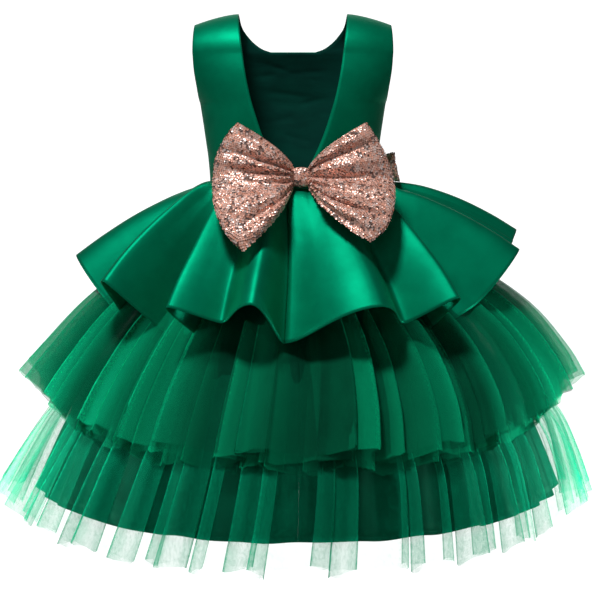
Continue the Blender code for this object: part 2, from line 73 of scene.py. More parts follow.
class Signal:
    """A socket of a material's graph that plain Python sums can use."""

    def __init__(self, graph: Graph, socket: Socket) -> None:
        """Wrap an output socket of a graph."""
        self.graph = graph
        self.socket = socket

    def maths(self, operation: str, *others: Operand, first: bool = True) -> Signal:
        """Add a Math node.

        Args:
            operation: the Math node's operation.
            others: the other operands.
            first: whether this value comes before the others.

        Returns:
            The result as a new value.
        """
        operands = (self, *others) if first else (*others, self)
        node = self.graph.node(
            "ShaderNodeMath", {"operation": operation}, dict(enumerate(operands))
        )
        return Signal(self.graph, node.outputs[0])

    def __add__(self, other: Operand) -> Signal:
        """Add another value."""
        return self.maths("ADD", other)

    __radd__ = __add__

    def __sub__(self, other: Operand) -> Signal:
        """Take another value away."""
        return self.maths("SUBTRACT", other)

    def __rsub__(self, other: Operand) -> Signal:
        """Take this value away from another."""
        return self.maths("SUBTRACT", other, first=False)

    def __mul__(self, other: Operand) -> Signal:
        """Multiply by another value."""
        return self.maths("MULTIPLY", other)

    __rmul__ = __mul__

    def __pow__(self, other: Operand) -> Signal:
        """Raise to a power."""
        return self.maths("POWER", other)

    def __rpow__(self, other: Operand) -> Signal:
        """Raise another value to this power."""
        return self.maths("POWER", other, first=False)

    def sine(self) -> Signal:
        """Return the sine."""
        return self.maths("SINE")

    def wave(self) -> Signal:
        """Return the sine, moved to run from 0 to 1."""
        return self.sine() * 0.5 + 0.5

    def ramp(self, low: float, high: float) -> Signal:
        """Return a smooth step from 0 at low to 1 at high.

        Args:
            low: where it is 0.
            high: where it is 1.

        Returns:
            The new value.
        """
        node = self.graph.node(
            "ShaderNodeMapRange",
            {"interpolation_type": "SMOOTHSTEP"},
            {"Value": self, "From Min": low, "From Max": high},
        )
        return Signal(self.graph, node.outputs["Result"])


Input = Union[Operand, Socket, Sequence[float]]


class Graph:
    """A material's nodes, with one Principled shader as its surface."""

    def __init__(self, name: str) -> None:
        """Start an empty material.

        Args:
            name: the material's name.
        """
        self.material = bpy.data.materials.new(name)
        self.material.use_nodes = True
        self.tree = self.material.node_tree
        self.tree.nodes.clear()
        self.shader = self.node("ShaderNodeBsdfPrincipled", {}, {})
        self.output = self.node("ShaderNodeOutputMaterial", {}, {"Surface": self.shader.outputs[0]})

    def node(
        self,
        kind: str,
        settings: Mapping[str, Any],
        inputs: Mapping[Union[str, int], Input],
    ) -> bpy.types.Node:
        """Add any node.

        Args:
            kind: the node's type.
            settings: its own properties, or a ramp's stops as (place, colour) pairs.
            inputs: a value or a link for each named or numbered socket.

        Returns:
            The new node.
        """
        node = self.tree.nodes.new(kind)
        for name, value in settings.items():
            if name == "stops":
                self.set_stops(node, value)
            else:
                setattr(node, name, value)
        for name, value in inputs.items():
            self.feed(node.inputs[name], value)
        return node

    def set_stops(self, node: bpy.types.Node, stops: Sequence[tuple[float, Colour]]) -> None:
        """Give a colour ramp its stops.

        Args:
            node: the ramp.
            stops: places from 0 to 1, each with its colour.
        """
        elements = node.color_ramp.elements
        while len(elements) < len(stops):
            elements.new(1.0)
        for element, (place, colour) in zip(elements, stops):
            element.position = place
            element.color = colour

    def feed(self, socket: Socket, value: Input) -> None:
        """Set or link an input socket.

        Args:
            socket: the socket that takes the value.
            value: a number, a colour, an output socket or a signal.
        """
        if isinstance(value, Signal):
            self.tree.links.new(value.socket, socket)
        elif isinstance(value, Socket):
            self.tree.links.new(value, socket)
        else:
            socket.default_value = value

    def dress(self, **values: Input) -> None:
        """Feed the Principled shader; a name's underscores stand for spaces."""
        for name, value in values.items():
            self.feed(self.shader.inputs[name.replace("_", " ")], value)

    def cloth_place(self, layer: str = "cloth") -> tuple[Signal, Signal]:
        """Return a point's place on its cloth in metres: along the width, and down.

        Args:
            layer: the UV layer to read.

        Returns:
            The layer's two values.
        """
        source = self.node("ShaderNodeUVMap", {"uv_map": layer}, {})
        split = self.node("ShaderNodeSeparateXYZ", {}, {0: source.outputs[0]})
        return Signal(self, split.outputs["X"]), Signal(self, split.outputs["Y"])

    def plain_weave(self, thread: float) -> Signal:
        """Return a weave from -1 to 1 whose threads repeat at this distance."""
        along, down = self.cloth_place()
        return (along * (TURN / thread)).sine() * (down * (TURN / thread)).sine()

    def noise(
        self, scale: float, detail: float, stretch: Sequence[float] = (1, 1, 1)
    ) -> Signal:
        """Return noise from 0 to 1 that is fixed to the object.

        Args:
            scale: waves in a metre.
            detail: how many finer waves are added.
            stretch: the size of the pattern's repeat along each axis.

        Returns:
            The new value.
        """
        place = self.node("ShaderNodeTexCoord", {}, {})
        mapped = self.node(
            "ShaderNodeMapping",
            {},
            {"Vector": place.outputs["Object"], "Scale": [1 / part for part in stretch]},
        )
        noise = self.node(
            "ShaderNodeTexNoise",
            {},
            {
                "Vector": mapped.outputs[0],
                "Scale": scale,
                "Detail": detail,
                "Roughness": NOISE_ROUGHNESS,
            },
        )
        return Signal(self, noise.outputs["Fac"])

    def mix(self, share: Operand, first: Input, second: Input) -> Socket:
        """Return a colour that goes from the first to the second with the share."""
        node = self.node("ShaderNodeMix", {"data_type": "RGBA"}, {0: share, 6: first, 7: second})
        return node.outputs[2]

    def bump(self, height: Signal, distance: float, strength: float) -> None:
        """Raise the shader's surface.

        Args:
            height: the relief, from 0 to 1.
            distance: how high 1 stands, in metres.
            strength: how much of the relief shows.
        """
        node = self.node(
            "ShaderNodeBump", {}, {"Height": height, "Distance": distance, "Strength": strength}
        )
        self.dress(Normal=node.outputs[0])


# Finishes


@dataclass(frozen=True)
class Satin:
    """Duchess satin: deep green, with a green gloss that follows the form."""

    name: str = "emerald_satin"
    colour: Colour = (0.0, 0.31, 0.155, 1.0)
    shade: Colour = (0.0, 0.25, 0.125, 1.0)
    shade_range: tuple[float, float] = (0.3, 0.75)
    roughness: float = 0.52
    roughness_spread: float = 0.08
    metallic: float = 0.72
    white_gloss: float = 0.03
    thread: float = 0.45 * MM
    thread_height: float = 0.03 * MM
    weft_slant: float = 0.2
    pucker_waves: float = 26.0
    pucker_height: float = 0.9 * MM
    relief: float = 0.55

    def build(self) -> Material:
        """Wire the nodes.

        Returns:
            The material.
        """
        graph = Graph(self.name)
        along, down = graph.cloth_place()
        cloud = graph.noise(self.pucker_waves, 3.0)
        turn = TURN / self.thread
        weft = (along * turn + down * (turn * self.weft_slant)).wave()
        warp = (down * turn).wave()
        graph.dress(
            Base_Color=graph.mix(cloud.ramp(*self.shade_range), self.colour, self.shade),
            Roughness=cloud * self.roughness_spread + (self.roughness - self.roughness_spread / 2),
            Metallic=self.metallic,
            Specular_IOR_Level=self.white_gloss,
        )
        share = self.thread_height / self.pucker_height
        graph.bump(cloud + (weft + warp * 0.5) * share, self.pucker_height, self.relief)
        return graph.material


@dataclass(frozen=True)
class Lining:
    """Matt lining cloth with a plain weave and small slack wrinkles."""

    name: str = "dark_lining"
    colour: Colour = (0.0, 0.060, 0.042, 1.0)
    shade: Colour = (0.0, 0.040, 0.030, 1.0)
    shade_range: tuple[float, float] = (0.35, 0.7)
    roughness: float = 0.82
    roughness_spread: float = 0.05
    white_gloss: float = 0.1
    thread: float = 0.6 * MM
    thread_share: float = 0.02
    wrinkle_waves: float = 34.0
    wrinkle_stretch: tuple[float, float, float] = (2.6, 2.6, 1.0)
    wrinkle_height: float = 1.6 * MM
    relief: float = 0.7

    def build(self) -> Material:
        """Wire the nodes.

        Returns:
            The material.
        """
        graph = Graph(self.name)
        wrinkle = graph.noise(self.wrinkle_waves, 3.0, self.wrinkle_stretch)
        weave = graph.plain_weave(self.thread)
        graph.dress(
            Base_Color=graph.mix(wrinkle.ramp(*self.shade_range), self.colour, self.shade),
            Roughness=weave * self.roughness_spread + self.roughness,
            Specular_IOR_Level=self.white_gloss,
        )
        graph.bump(wrinkle + weave * self.thread_share, self.wrinkle_height, self.relief)
        return graph.material


@dataclass(frozen=True)
class Tulle:
    """Fine hexagonal net, denser where folds and layers lie on each other. Its colour carries
    painted shade: each fold's net is painted darker from its free edge towards the next fold, and
    the laps under the folds get a painted shade of their own.

    From free_range, in metres below its upper edge, it hangs free of the cloth behind it. Where
    through isn't 0, that band is given a painted glow: an emission that stands in for light coming
    through the net from behind.
    """

    name: str
    colour: Colour = (0.0, 0.48, 0.21, 1.0)
    # shade is the dark end of the net's painted shade
    shade: Colour = (0.0, 0.04, 0.02, 1.0)
    cover: float = 0.42
    crease_cover: float = 0.30
    mesh_cover: float = 0.16
    moire_cover: float = 0.15
    cloud_cover: float = 0.06
    cloud_tone: float = 0.15
    mesh: float = 1.5 * MM
    hole_range: tuple[float, float] = (-1.0, 1.4)
    yarn_height: float = 0.15 * MM
    relief: float = 0.5
    cloud_waves: float = 45.0
    cloud_stretch: tuple[float, float, float] = (1.0, 1.0, 4.0)
    moire_waves: float = 330.0
    moire_stretch: tuple[float, float, float] = (1.0, 1.0, 2.2)
    moire_range: tuple[float, float] = (0.42, 0.66)
    moire_least: float = 0.35
    roughness: float = 0.7
    roughness_spread: float = 0.1
    white_gloss: float = 0.03
    sheen: float = 0.15
    sheen_roughness: float = 0.5
    sheen_tint: Colour = (0.02, 0.75, 0.45, 1.0)
    # Painted light: the next three values give the net's free band an emission, a painted glow
    # standing in for backlight through the net.
    unlit: Colour = (0.0, 0.0, 0.0, 1.0)
    painted_glow_colour: Colour = (0.0, 0.50, 0.27, 1.0)
    through: float = 0.0
    free_range: tuple[float, float] = (0.19, 0.21)

    def yarn(self, along: Signal, down: Signal) -> Signal:
        """Return 1 on the net's yarn and 0 in its hexagonal holes.

        Args:
            along: metres along the cloth.
            down: metres down the cloth.

        Returns:
            The new value.
        """
        turn = TURN / self.mesh
        slant = down * (turn * math.sqrt(3) / 2)
        holes = (along * turn + math.pi / 2).sine()
        holes = holes + (along * (turn / 2) + slant + math.pi / 2).sine()
        holes = holes + (along * (turn / 2) - slant + math.pi / 2).sine()
        return 1 - holes.ramp(*self.hole_range)

    def build(self) -> Material:
        """Wire the nodes.

        Returns:
            The material.
        """
        graph = Graph(self.name)
        along, down = graph.cloth_place()
        # The fold layer's second value is painted shade; it darkens the net from colour towards
        # shade, with a random cloud mixed in.
        crease, tone = graph.cloth_place("fold")
        yarn = self.yarn(along, down)
        cloud = graph.noise(self.cloud_waves, 3.0, self.cloud_stretch)
        moire = graph.noise(self.moire_waves, 2.0, self.moire_stretch).ramp(*self.moire_range)
        thick = crease * self.crease_cover + yarn * self.mesh_cover + cloud * self.cloud_cover
        thick = thick + moire * (crease + self.moire_least) * self.moire_cover
        tone = tone * (1 - self.cloud_tone) + cloud * self.cloud_tone
        graph.dress(
            Base_Color=graph.mix(tone, self.colour, self.shade),
            Roughness=cloud * self.roughness_spread + (self.roughness - self.roughness_spread / 2),
            Specular_IOR_Level=self.white_gloss,
            Sheen_Weight=self.sheen,
            Sheen_Roughness=self.sheen_roughness,
            Sheen_Tint=self.sheen_tint,
            Alpha=thick + (self.cover - (self.mesh_cover + self.cloud_cover) / 2),
        )
        # Painted light: the free band glows, standing in for light coming through the net from
        # behind.
        if self.through:
            free = down.ramp(*self.free_range)
            graph.dress(
                Emission_Color=graph.mix(free, self.unlit, self.painted_glow_colour),
                Emission_Strength=self.through,
            )
        graph.bump(yarn, self.yarn_height, self.relief)
        return graph.material


@dataclass(frozen=True)
class SequinFoil:
    """Rose-gold foil whose tone and gloss change from sequin to sequin."""

    name: str = "rose_gold_sequins"
    tones: tuple[tuple[float, Colour], ...] = (
        # The darkest stops are painted shade, for flipped sequins that reflect no light.
        (0.00, (0.20, 0.15, 0.14, 1.0)),
        (0.12, (0.34, 0.24, 0.21, 1.0)),
        (0.22, (0.95, 0.40, 0.26, 1.0)),
        (0.50, (1.00, 0.52, 0.40, 1.0)),
        (0.80, (1.00, 0.66, 0.56, 1.0)),
        (1.00, (1.00, 0.90, 0.88, 1.0)),
    )
    metallic: float = 0.25
    roughness: float = 0.25
    roughness_spread: float = 0.2
    lacquer: float = 0.8
    lacquer_roughness: float = 0.12
    grain_waves: float = 900.0
    grain_height: float = 0.1 * MM
    relief: float = 0.4

    def build(self) -> Material:
        """Wire the nodes.

        Returns:
            The material.
        """
        graph = Graph(self.name)
        tone, gloss = graph.cloth_place("tone")
        ramp = graph.node("ShaderNodeValToRGB", {"stops": self.tones}, {"Fac": tone})
        graph.dress(
            Base_Color=ramp.outputs[0],
            Roughness=gloss * self.roughness_spread + self.roughness,
            Metallic=self.metallic,
            Coat_Weight=self.lacquer,
            Coat_Roughness=self.lacquer_roughness,
        )
        graph.bump(graph.noise(self.grain_waves, 1.0), self.grain_height, self.relief)
        return graph.material


@dataclass(frozen=True)
class BowBacking:
    """The copper-brown mesh cloth that the sequins are sewn on."""

    name: str = "bow_backing"
    colour: Colour = (0.36, 0.17, 0.12, 1.0)
    shade: Colour = (0.17, 0.08, 0.06, 1.0)
    roughness: float = 0.55
    roughness_spread: float = 0.15
    metallic: float = 0.25
    thread: float = 0.9 * MM
    thread_height: float = 0.2 * MM
    relief: float = 0.6

    def build(self) -> Material:
        """Wire the nodes.

        Returns:
            The material.
        """
        graph = Graph(self.name)
        grain = graph.plain_weave(self.thread) * 0.5 + 0.5
        graph.dress(
            Base_Color=graph.mix(grain, self.colour, self.shade),
            Roughness=grain * self.roughness_spread + self.roughness,
            Metallic=self.metallic,
        )
        graph.bump(grain, self.thread_height, self.relief)
        return graph.material


@dataclass(frozen=True)
class SewingThread:
    """Green sewing thread, with its twist as a fine relief."""

    name: str = "green_thread"
    colour: Colour = (0.0, 0.30, 0.17, 1.0)
    shade: Colour = (0.0, 0.17, 0.09, 1.0)
    roughness: float = 0.4
    roughness_spread: float = 0.2
    twist_waves: float = 1400.0
    twist_height: float = 0.1 * MM
    relief: float = 0.5

    def build(self) -> Material:
        """Wire the nodes.

        Returns:
            The material.
        """
        graph = Graph(self.name)
        twist = graph.noise(self.twist_waves, 1.0)
        graph.dress(
            Base_Color=graph.mix(twist, self.colour, self.shade),
            Roughness=twist * self.roughness_spread + self.roughness,
        )
        graph.bump(twist, self.twist_height, self.relief)
        return graph.material


@dataclass(frozen=True)
class StudioPaper:
    """Seamless pale paper for the floor and the backdrop, lit brighter behind the gown."""

    name: str = "studio_paper"
    colour: Colour = (0.40, 0.40, 0.40, 1.0)
    near_glow: Colour = (0.0, 0.0, 0.0, 1.0)
    far_glow: Colour = (1.0, 1.0, 1.0, 1.0)
    glow: float = 1.0
    roughness: float = 0.85
    roughness_spread: float = 0.05
    behind_range: tuple[float, float] = (-0.25, 0.45)
    half_width: float = 0.35
    widening: float = 0.2
    soft_edge: float = 0.9
    grain_waves: float = 8.0
    round_glow: float = 0.11
    round_range: tuple[float, float] = (2.0, 6.5)

    def build(self) -> Material:
        """Wire the nodes.

        Returns:
            The material.
        """
        graph = Graph(self.name)
        grain = graph.noise(self.grain_waves, 2.0)
        place = graph.node("ShaderNodeTexCoord", {}, {})
        split = graph.node("ShaderNodeSeparateXYZ", {}, {0: place.outputs["Object"]})
        depth = Signal(graph, split.outputs["Y"])
        aside = Signal(graph, split.outputs["X"]).maths("ABSOLUTE")
        past_edge = aside - (depth * self.widening + self.half_width)
        behind = depth.ramp(*self.behind_range) * (1 - past_edge.ramp(0.0, self.soft_edge))
        away = (depth * depth + aside * aside) ** 0.5
        all_round = away.ramp(*self.round_range) * self.round_glow
        share = behind + all_round * (1 - behind)
        graph.dress(
            Base_Color=self.colour,
            Roughness=grain * self.roughness_spread + self.roughness,
            Emission_Color=graph.mix(share, self.near_glow, self.far_glow),
            Emission_Strength=self.glow,
        )
        return graph.material


# Curves, grids and meshes


def between(rows: Sequence[Any], key: str, at: float) -> Any:
    """Work out a table row on a smooth curve through the rows.

    Args:
        rows: the table, in the order of its key.
        key: the key column's name.
        at: the key's value, held within the table.

    Returns:
        A row of the same type.
    """
    keys = [getattr(row, key) for row in rows]
    at = min(max(at, keys[0]), keys[-1])
    low = 0
    while low < len(keys) - 2 and at > keys[low + 1]:
        low += 1
    span = keys[low + 1] - keys[low]
    part = (at - keys[low]) / span
    before = max(low - 1, 0)
    after = min(low + 2, len(rows) - 1)
    values = []
    for field in rows[0]._fields:
        start = getattr(rows[low], field)
        end = getattr(rows[low + 1], field)
        slope_in = (end - getattr(rows[before], field)) / (keys[low + 1] - keys[before])
        slope_out = (getattr(rows[after], field) - start) / (keys[after] - keys[low])
        values.append(
            start * (1 + 2 * part) * (1 - part) ** 2
            + end * part * part * (3 - 2 * part)
            + slope_in * span * part * (1 - part) ** 2
            - slope_out * span * part * part * (1 - part)
        )
    return type(rows[0])(*values)


def signed_power(values: np.ndarray, power: float) -> np.ndarray:
    """Raise the values' sizes to a power and keep their signs."""
    return np.sign(values) * np.abs(values) ** power


def unit(vectors: np.ndarray) -> np.ndarray:
    """Return vectors of length 1."""
    return vectors / np.maximum(np.linalg.norm(vectors, axis=-1, keepdims=True), TINY)


def grid_normals(grid: Grid) -> Grid:
    """Return the outward unit normals of a grid whose rows run down and columns to the right."""
    return unit(np.cross(np.gradient(grid, axis=1), -np.gradient(grid, axis=0)))


def lengths_along(grid: Grid, axis: int) -> np.ndarray:
    """Return the distance run from the first row or column to each point.

    Args:
        grid: the points.
        axis: 0 down the rows, or 1 across the columns.

    Returns:
        Metres, in the grid's shape.
    """
    steps = np.linalg.norm(np.diff(grid, axis=axis), axis=2)
    start = np.zeros_like(np.take(steps, [0], axis=axis))
    return np.concatenate([start, np.cumsum(steps, axis=axis)], axis=axis)


def cloth_places(grid: Grid) -> np.ndarray:
    """Return each point's place on the flat cloth in metres: across its width, and down.

    Args:
        grid: the hung cloth's points.

    Returns:
        A pair of values for each point.
    """
    across = lengths_along(grid, 1)
    widest = across[int(np.argmax(across[:, -1]))]
    down = lengths_along(grid, 0).mean(axis=1)
    return np.stack(np.broadcast_arrays(widest[None, :], down[:, None]), axis=2)


class Cut(NamedTuple):
    """The flat size of a piece of cloth in metres, and its area where it isn't a rectangle."""

    width: float
    length: float
    area: float


LEAST_AREA_SHARE = 0.31


def flat_cut(grid: Grid) -> Cut:
    """Work out the cut of a piece from its own edges.

    Args:
        grid: the hung cloth's points.

    Returns:
        The widest edge, the longest way down, and the area between them.
    """
    widths = lengths_along(grid, 1)[:, -1]
    drops = lengths_along(grid, 0)[-1]
    place = lengths_along(grid, 0).mean(axis=1)
    area = float(np.sum((widths[1:] + widths[:-1]) / 2 * np.diff(place)))
    width = float(widths.max())
    length = float(drops.max())
    area = min(max(area, LEAST_AREA_SHARE * width * length), width * length)
    return Cut(round(width, 3), round(length, 3), round(area, 5))


def grid_faces(rows: int, columns: int, keep: Optional[np.ndarray] = None) -> np.ndarray:
    """Return the corner numbers of a grid's cells.

    Args:
        rows: how many rows of points there are.
        columns: how many points a row has.
        keep: which cells to use, or all.

    Returns:
        Four corner numbers for each cell.
    """
    numbers = np.arange(rows * columns).reshape(rows, columns)
    cells = np.stack(
        [numbers[:-1, :-1], numbers[1:, :-1], numbers[1:, 1:], numbers[:-1, 1:]], axis=2
    )
    return cells[keep] if keep is not None else cells.reshape(-1, 4)


def rim_faces(rows: int, columns: int, keep: np.ndarray) -> np.ndarray:
    """Return the faces that close a shell between its outer grid and the inner one after it.

    Args:
        rows: how many rows of points each grid has.
        columns: how many points a row has.
        keep: which cells are cloth.

    Returns:
        Four corner numbers for each face.
    """
    numbers = np.arange(rows * columns).reshape(rows, columns)
    padded = np.pad(keep, 1)
    inner = rows * columns
    found = []
    for row, column in zip(*np.nonzero(keep)):
        corners = (
            (padded[row, column + 1], numbers[row, column + 1], numbers[row, column]),
            (padded[row + 2, column + 1], numbers[row + 1, column], numbers[row + 1, column + 1]),
            (padded[row + 1, column], numbers[row, column], numbers[row + 1, column]),
            (padded[row + 1, column + 2], numbers[row + 1, column + 1], numbers[row, column + 1]),
        )
        for joined, start, end in corners:
            if not joined:
                found.append((end, start, start + inner, end + inner))
    return np.array(found)


def make_object(
    name: str,
    points: np.ndarray,
    faces: np.ndarray,
    materials: Sequence[Material],
    layers: Mapping[str, np.ndarray],
    slots: Optional[np.ndarray] = None,
) -> Piece:
    """Make a smooth mesh object.

    Args:
        name: the object's name.
        points: the vertices.
        faces: the corner numbers of the faces.
        materials: the object's materials.
        layers: a pair of values for each vertex, for each UV layer.
        slots: the material's number for each face.

    Returns:
        The object, linked to the scene.
    """
    mesh = bpy.data.meshes.new(name)
    mesh.from_pydata(points.tolist(), [], faces.tolist())
    for layer_name, values in layers.items():
        layer = mesh.uv_layers.new(name=layer_name)
        layer.data.foreach_set("uv", values[faces.reshape(-1)].reshape(-1))
    for material in materials:
        mesh.materials.append(material)
    if slots is not None:
        mesh.polygons.foreach_set("material_index", slots)
    mesh.shade_smooth()
    mesh.update()
    piece = bpy.data.objects.new(name, mesh)
    bpy.context.collection.objects.link(piece)
    return piece


def make_sheet(
    name: str, grid: Grid, material: Material, folds: np.ndarray
) -> Piece:
    """Make an open sheet of see-through cloth.

    Args:
        name: the object's name.
        grid: the points.
        material: the cloth.
        folds: how creased each point is and its fold's painted shade, both from 0 to 1.

    Returns:
        The object.
    """
    rows, columns = grid.shape[:2]
    layers = {
        "cloth": cloth_places(grid).reshape(-1, 2),
        "fold": folds.reshape(-1, 2),
    }
    return make_object(name, grid.reshape(-1, 3), grid_faces(rows, columns), [material], layers)


def make_shell(
    name: str,
    grid: Grid,
    wall: float,
    outer: Material,
    inner: Material,
    keep: Optional[np.ndarray] = None,
) -> Piece:
    """Make a closed shell of cloth with soft edges whose outer face is the grid.

    Args:
        name: the object's name.
        grid: the outer face's points.
        wall: how thick the cloth is.
        outer: the right side's material.
        inner: the wrong side's material.
        keep: which cells are cloth, or all.

    Returns:
        The object.
    """
    rows, columns = grid.shape[:2]
    if keep is None:
        keep = np.ones((rows - 1, columns - 1), dtype=bool)
    back = grid - grid_normals(grid) * wall
    front_faces = grid_faces(rows, columns, keep)
    back_faces = front_faces[:, ::-1] + rows * columns
    rim = rim_faces(rows, columns, keep)
    faces = np.concatenate([front_faces, back_faces, rim])
    slots = np.repeat([0, 1, 0], [len(front_faces), len(back_faces), len(rim)])
    points = np.concatenate([grid.reshape(-1, 3), back.reshape(-1, 3)])
    places = cloth_places(grid).reshape(-1, 2)
    used, numbers = np.unique(faces.reshape(-1), return_inverse=True)
    layers = {"cloth": np.concatenate([places, places])[used]}
    return make_object(
        name, points[used], numbers.reshape(-1, 4), [outer, inner], layers, slots
    )


def declare_cloth(
    piece: Piece,
    cut: Cut,
    nodes: Sequence[str],
) -> None:
    """Attach a piece of cloth to the root, hide the solids that it stands for and log its flat
    size.

    Args:
        piece: the cloth.
        cut: its flat size.
        nodes: the solids that it stands for, if any.
    """
    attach(piece, "root")
    if nodes:
        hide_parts(*nodes)
    LOG.info("%s: %.0f x %.0f mm of cloth", piece.name, cut.width / MM, cut.length / MM)


# The form that the gown is cut for


class Side(Enum):
    """Which way a panel of the bodice faces."""

    BACK = -1
    FRONT = 1


class Torso(NamedTuple):
    """A level of the body. Above the underarm the edge is the armhole."""

    height: float
    edge_x: float
    edge_back: float
    edge_front: float
    back_depth: float
    front_depth: float


class Edge(NamedTuple):
    """Half the width of an opening at a height."""

    height: float
    half_width: float


class Crease(NamedTuple):
    """A soft trough in a panel, by its middle, in millimetres; a ridge if the depth is under 0."""

    x: float
    z: float
    slant_deg: float
    length: float
    width: float
    depth: float


def creased(grid: Grid, creases: Sequence[Crease]) -> Grid:
    """Press creases into a panel.

    Args:
        grid: the panel's outer face.
        creases: the troughs, placed by x and z.

    Returns:
        The moved grid.
    """
    push = np.zeros(grid.shape[:2])
    for crease in creases:
        slant = math.radians(crease.slant_deg)
        x = grid[..., 0] / MM - crease.x
        z = grid[..., 2] / MM - crease.z
        along = x * math.cos(slant) + z * math.sin(slant)
        away = z * math.cos(slant) - x * math.sin(slant)
        fade = np.exp(-((2 * along / crease.length) ** 4)) * np.exp(-((away / crease.width) ** 2))
        push += crease.depth * fade
    return grid - grid_normals(grid) * push[..., None] * MM


@dataclass(frozen=True)
class BodyForm:
    """A plain child's form under the bodice, in millimetres."""

    levels: tuple[Torso, ...] = (
        Torso(-202.7, 98.5, 0, 0, 73.5, 73.5),
        Torso(-175, 100.5, 0, 0, 72.5, 76),
        Torso(-145, 104.5, 0, 0, 73, 77),
        Torso(-108, 110, 0, 0, 73.5, 76),
        Torso(-100, 111.5, 18, 16, 73, 74.5),
        Torso(-86, 113.5, 30, 27, 71.5, 71),
        Torso(-66, 116.5, 37, 33, 68, 66),
        Torso(-45, 118, 40, 36, 62, 58),
    )
    shoulder_bend: float = -45.0
    neck_half_width: float = 64.5
    shoulder_slope: float = 13.0
    shoulder_narrowing: float = 1.5
    squareness: float = 2.3

    def size(self, row: Torso, side: Side) -> tuple[float, float]:
        """Return the half depth and half width of the whole form at a level.

        Args:
            row: the level.
            side: back or front.

        Returns:
            Both in millimetres.
        """
        depth = row.back_depth if side is Side.BACK else row.front_depth
        edge_y = max(row.edge_back if side is Side.BACK else row.edge_front, 0.0)
        left = 1 - (edge_y / depth) ** self.squareness
        return depth, row.edge_x / left ** (1 / self.squareness)

    def turns(self, row: Torso, side: Side, inner_x: float) -> tuple[float, float]:
        """Return the turn angles of an inner edge and of the side seam or armhole edge.

        Args:
            row: the level.
            side: back or front.
            inner_x: the inner edge's distance from the middle.

        Returns:
            Both in radians.
        """
        form = self.size(row, side)[1]
        power = self.squareness / 2
        inner = math.asin((inner_x / form) ** power)
        return inner, math.asin(min((row.edge_x / form) ** power, 1.0))

    def line(self, row: Torso, side: Side, turns: np.ndarray, bend: float) -> np.ndarray:
        """Return the points of one level.

        Args:
            row: the level.
            side: back or front.
            turns: the angles from the middle towards +X.
            bend: the angle over the shoulder, 0 below it.

        Returns:
            The points in metres.
        """
        depth, form = self.size(row, side)
        share = 2 / self.squareness
        x = form * signed_power(np.sin(turns), share)
        y = side.value * depth * np.maximum(np.cos(turns), 0.0) ** share
        z = np.full_like(x, row.height)
        if bend > 0:
            span = row.edge_x - self.neck_half_width
            outward = np.maximum(np.abs(x) - self.neck_half_width, 0.0) / span
            top = -self.shoulder_slope * outward ** 1.5
            z = self.shoulder_bend + (top - self.shoulder_bend) * math.sin(bend)
            x = x - np.sign(x) * self.shoulder_narrowing * outward * math.sin(bend) ** 2
            y = y * math.cos(bend)
        return np.stack([x, y, z], axis=1) * MM

    def edge_height(self, bend: float) -> float:
        """Return a neck edge's height on the bend over the shoulder."""
        return self.shoulder_bend * (1 - math.sin(bend))

    def body_levels(
        self, lowest: float, body_rows: int, bend_rows: int
    ) -> list[tuple[Torso, float]]:
        """Return a torso row and a bend for each level, from the waist over the shoulder.

        Args:
            lowest: the height of the waist edge.
            body_rows: how many levels lie below the bend.
            bend_rows: how many levels the bend has.

        Returns:
            The pairs, lowest first.
        """
        levels = []
        for height in np.linspace(lowest, self.shoulder_bend, body_rows):
            levels.append((between(self.levels, "height", float(height)), 0.0))
        for bend in np.linspace(0, math.pi / 2, bend_rows + 1)[1:]:
            levels.append((self.levels[-1], float(bend)))
        return levels


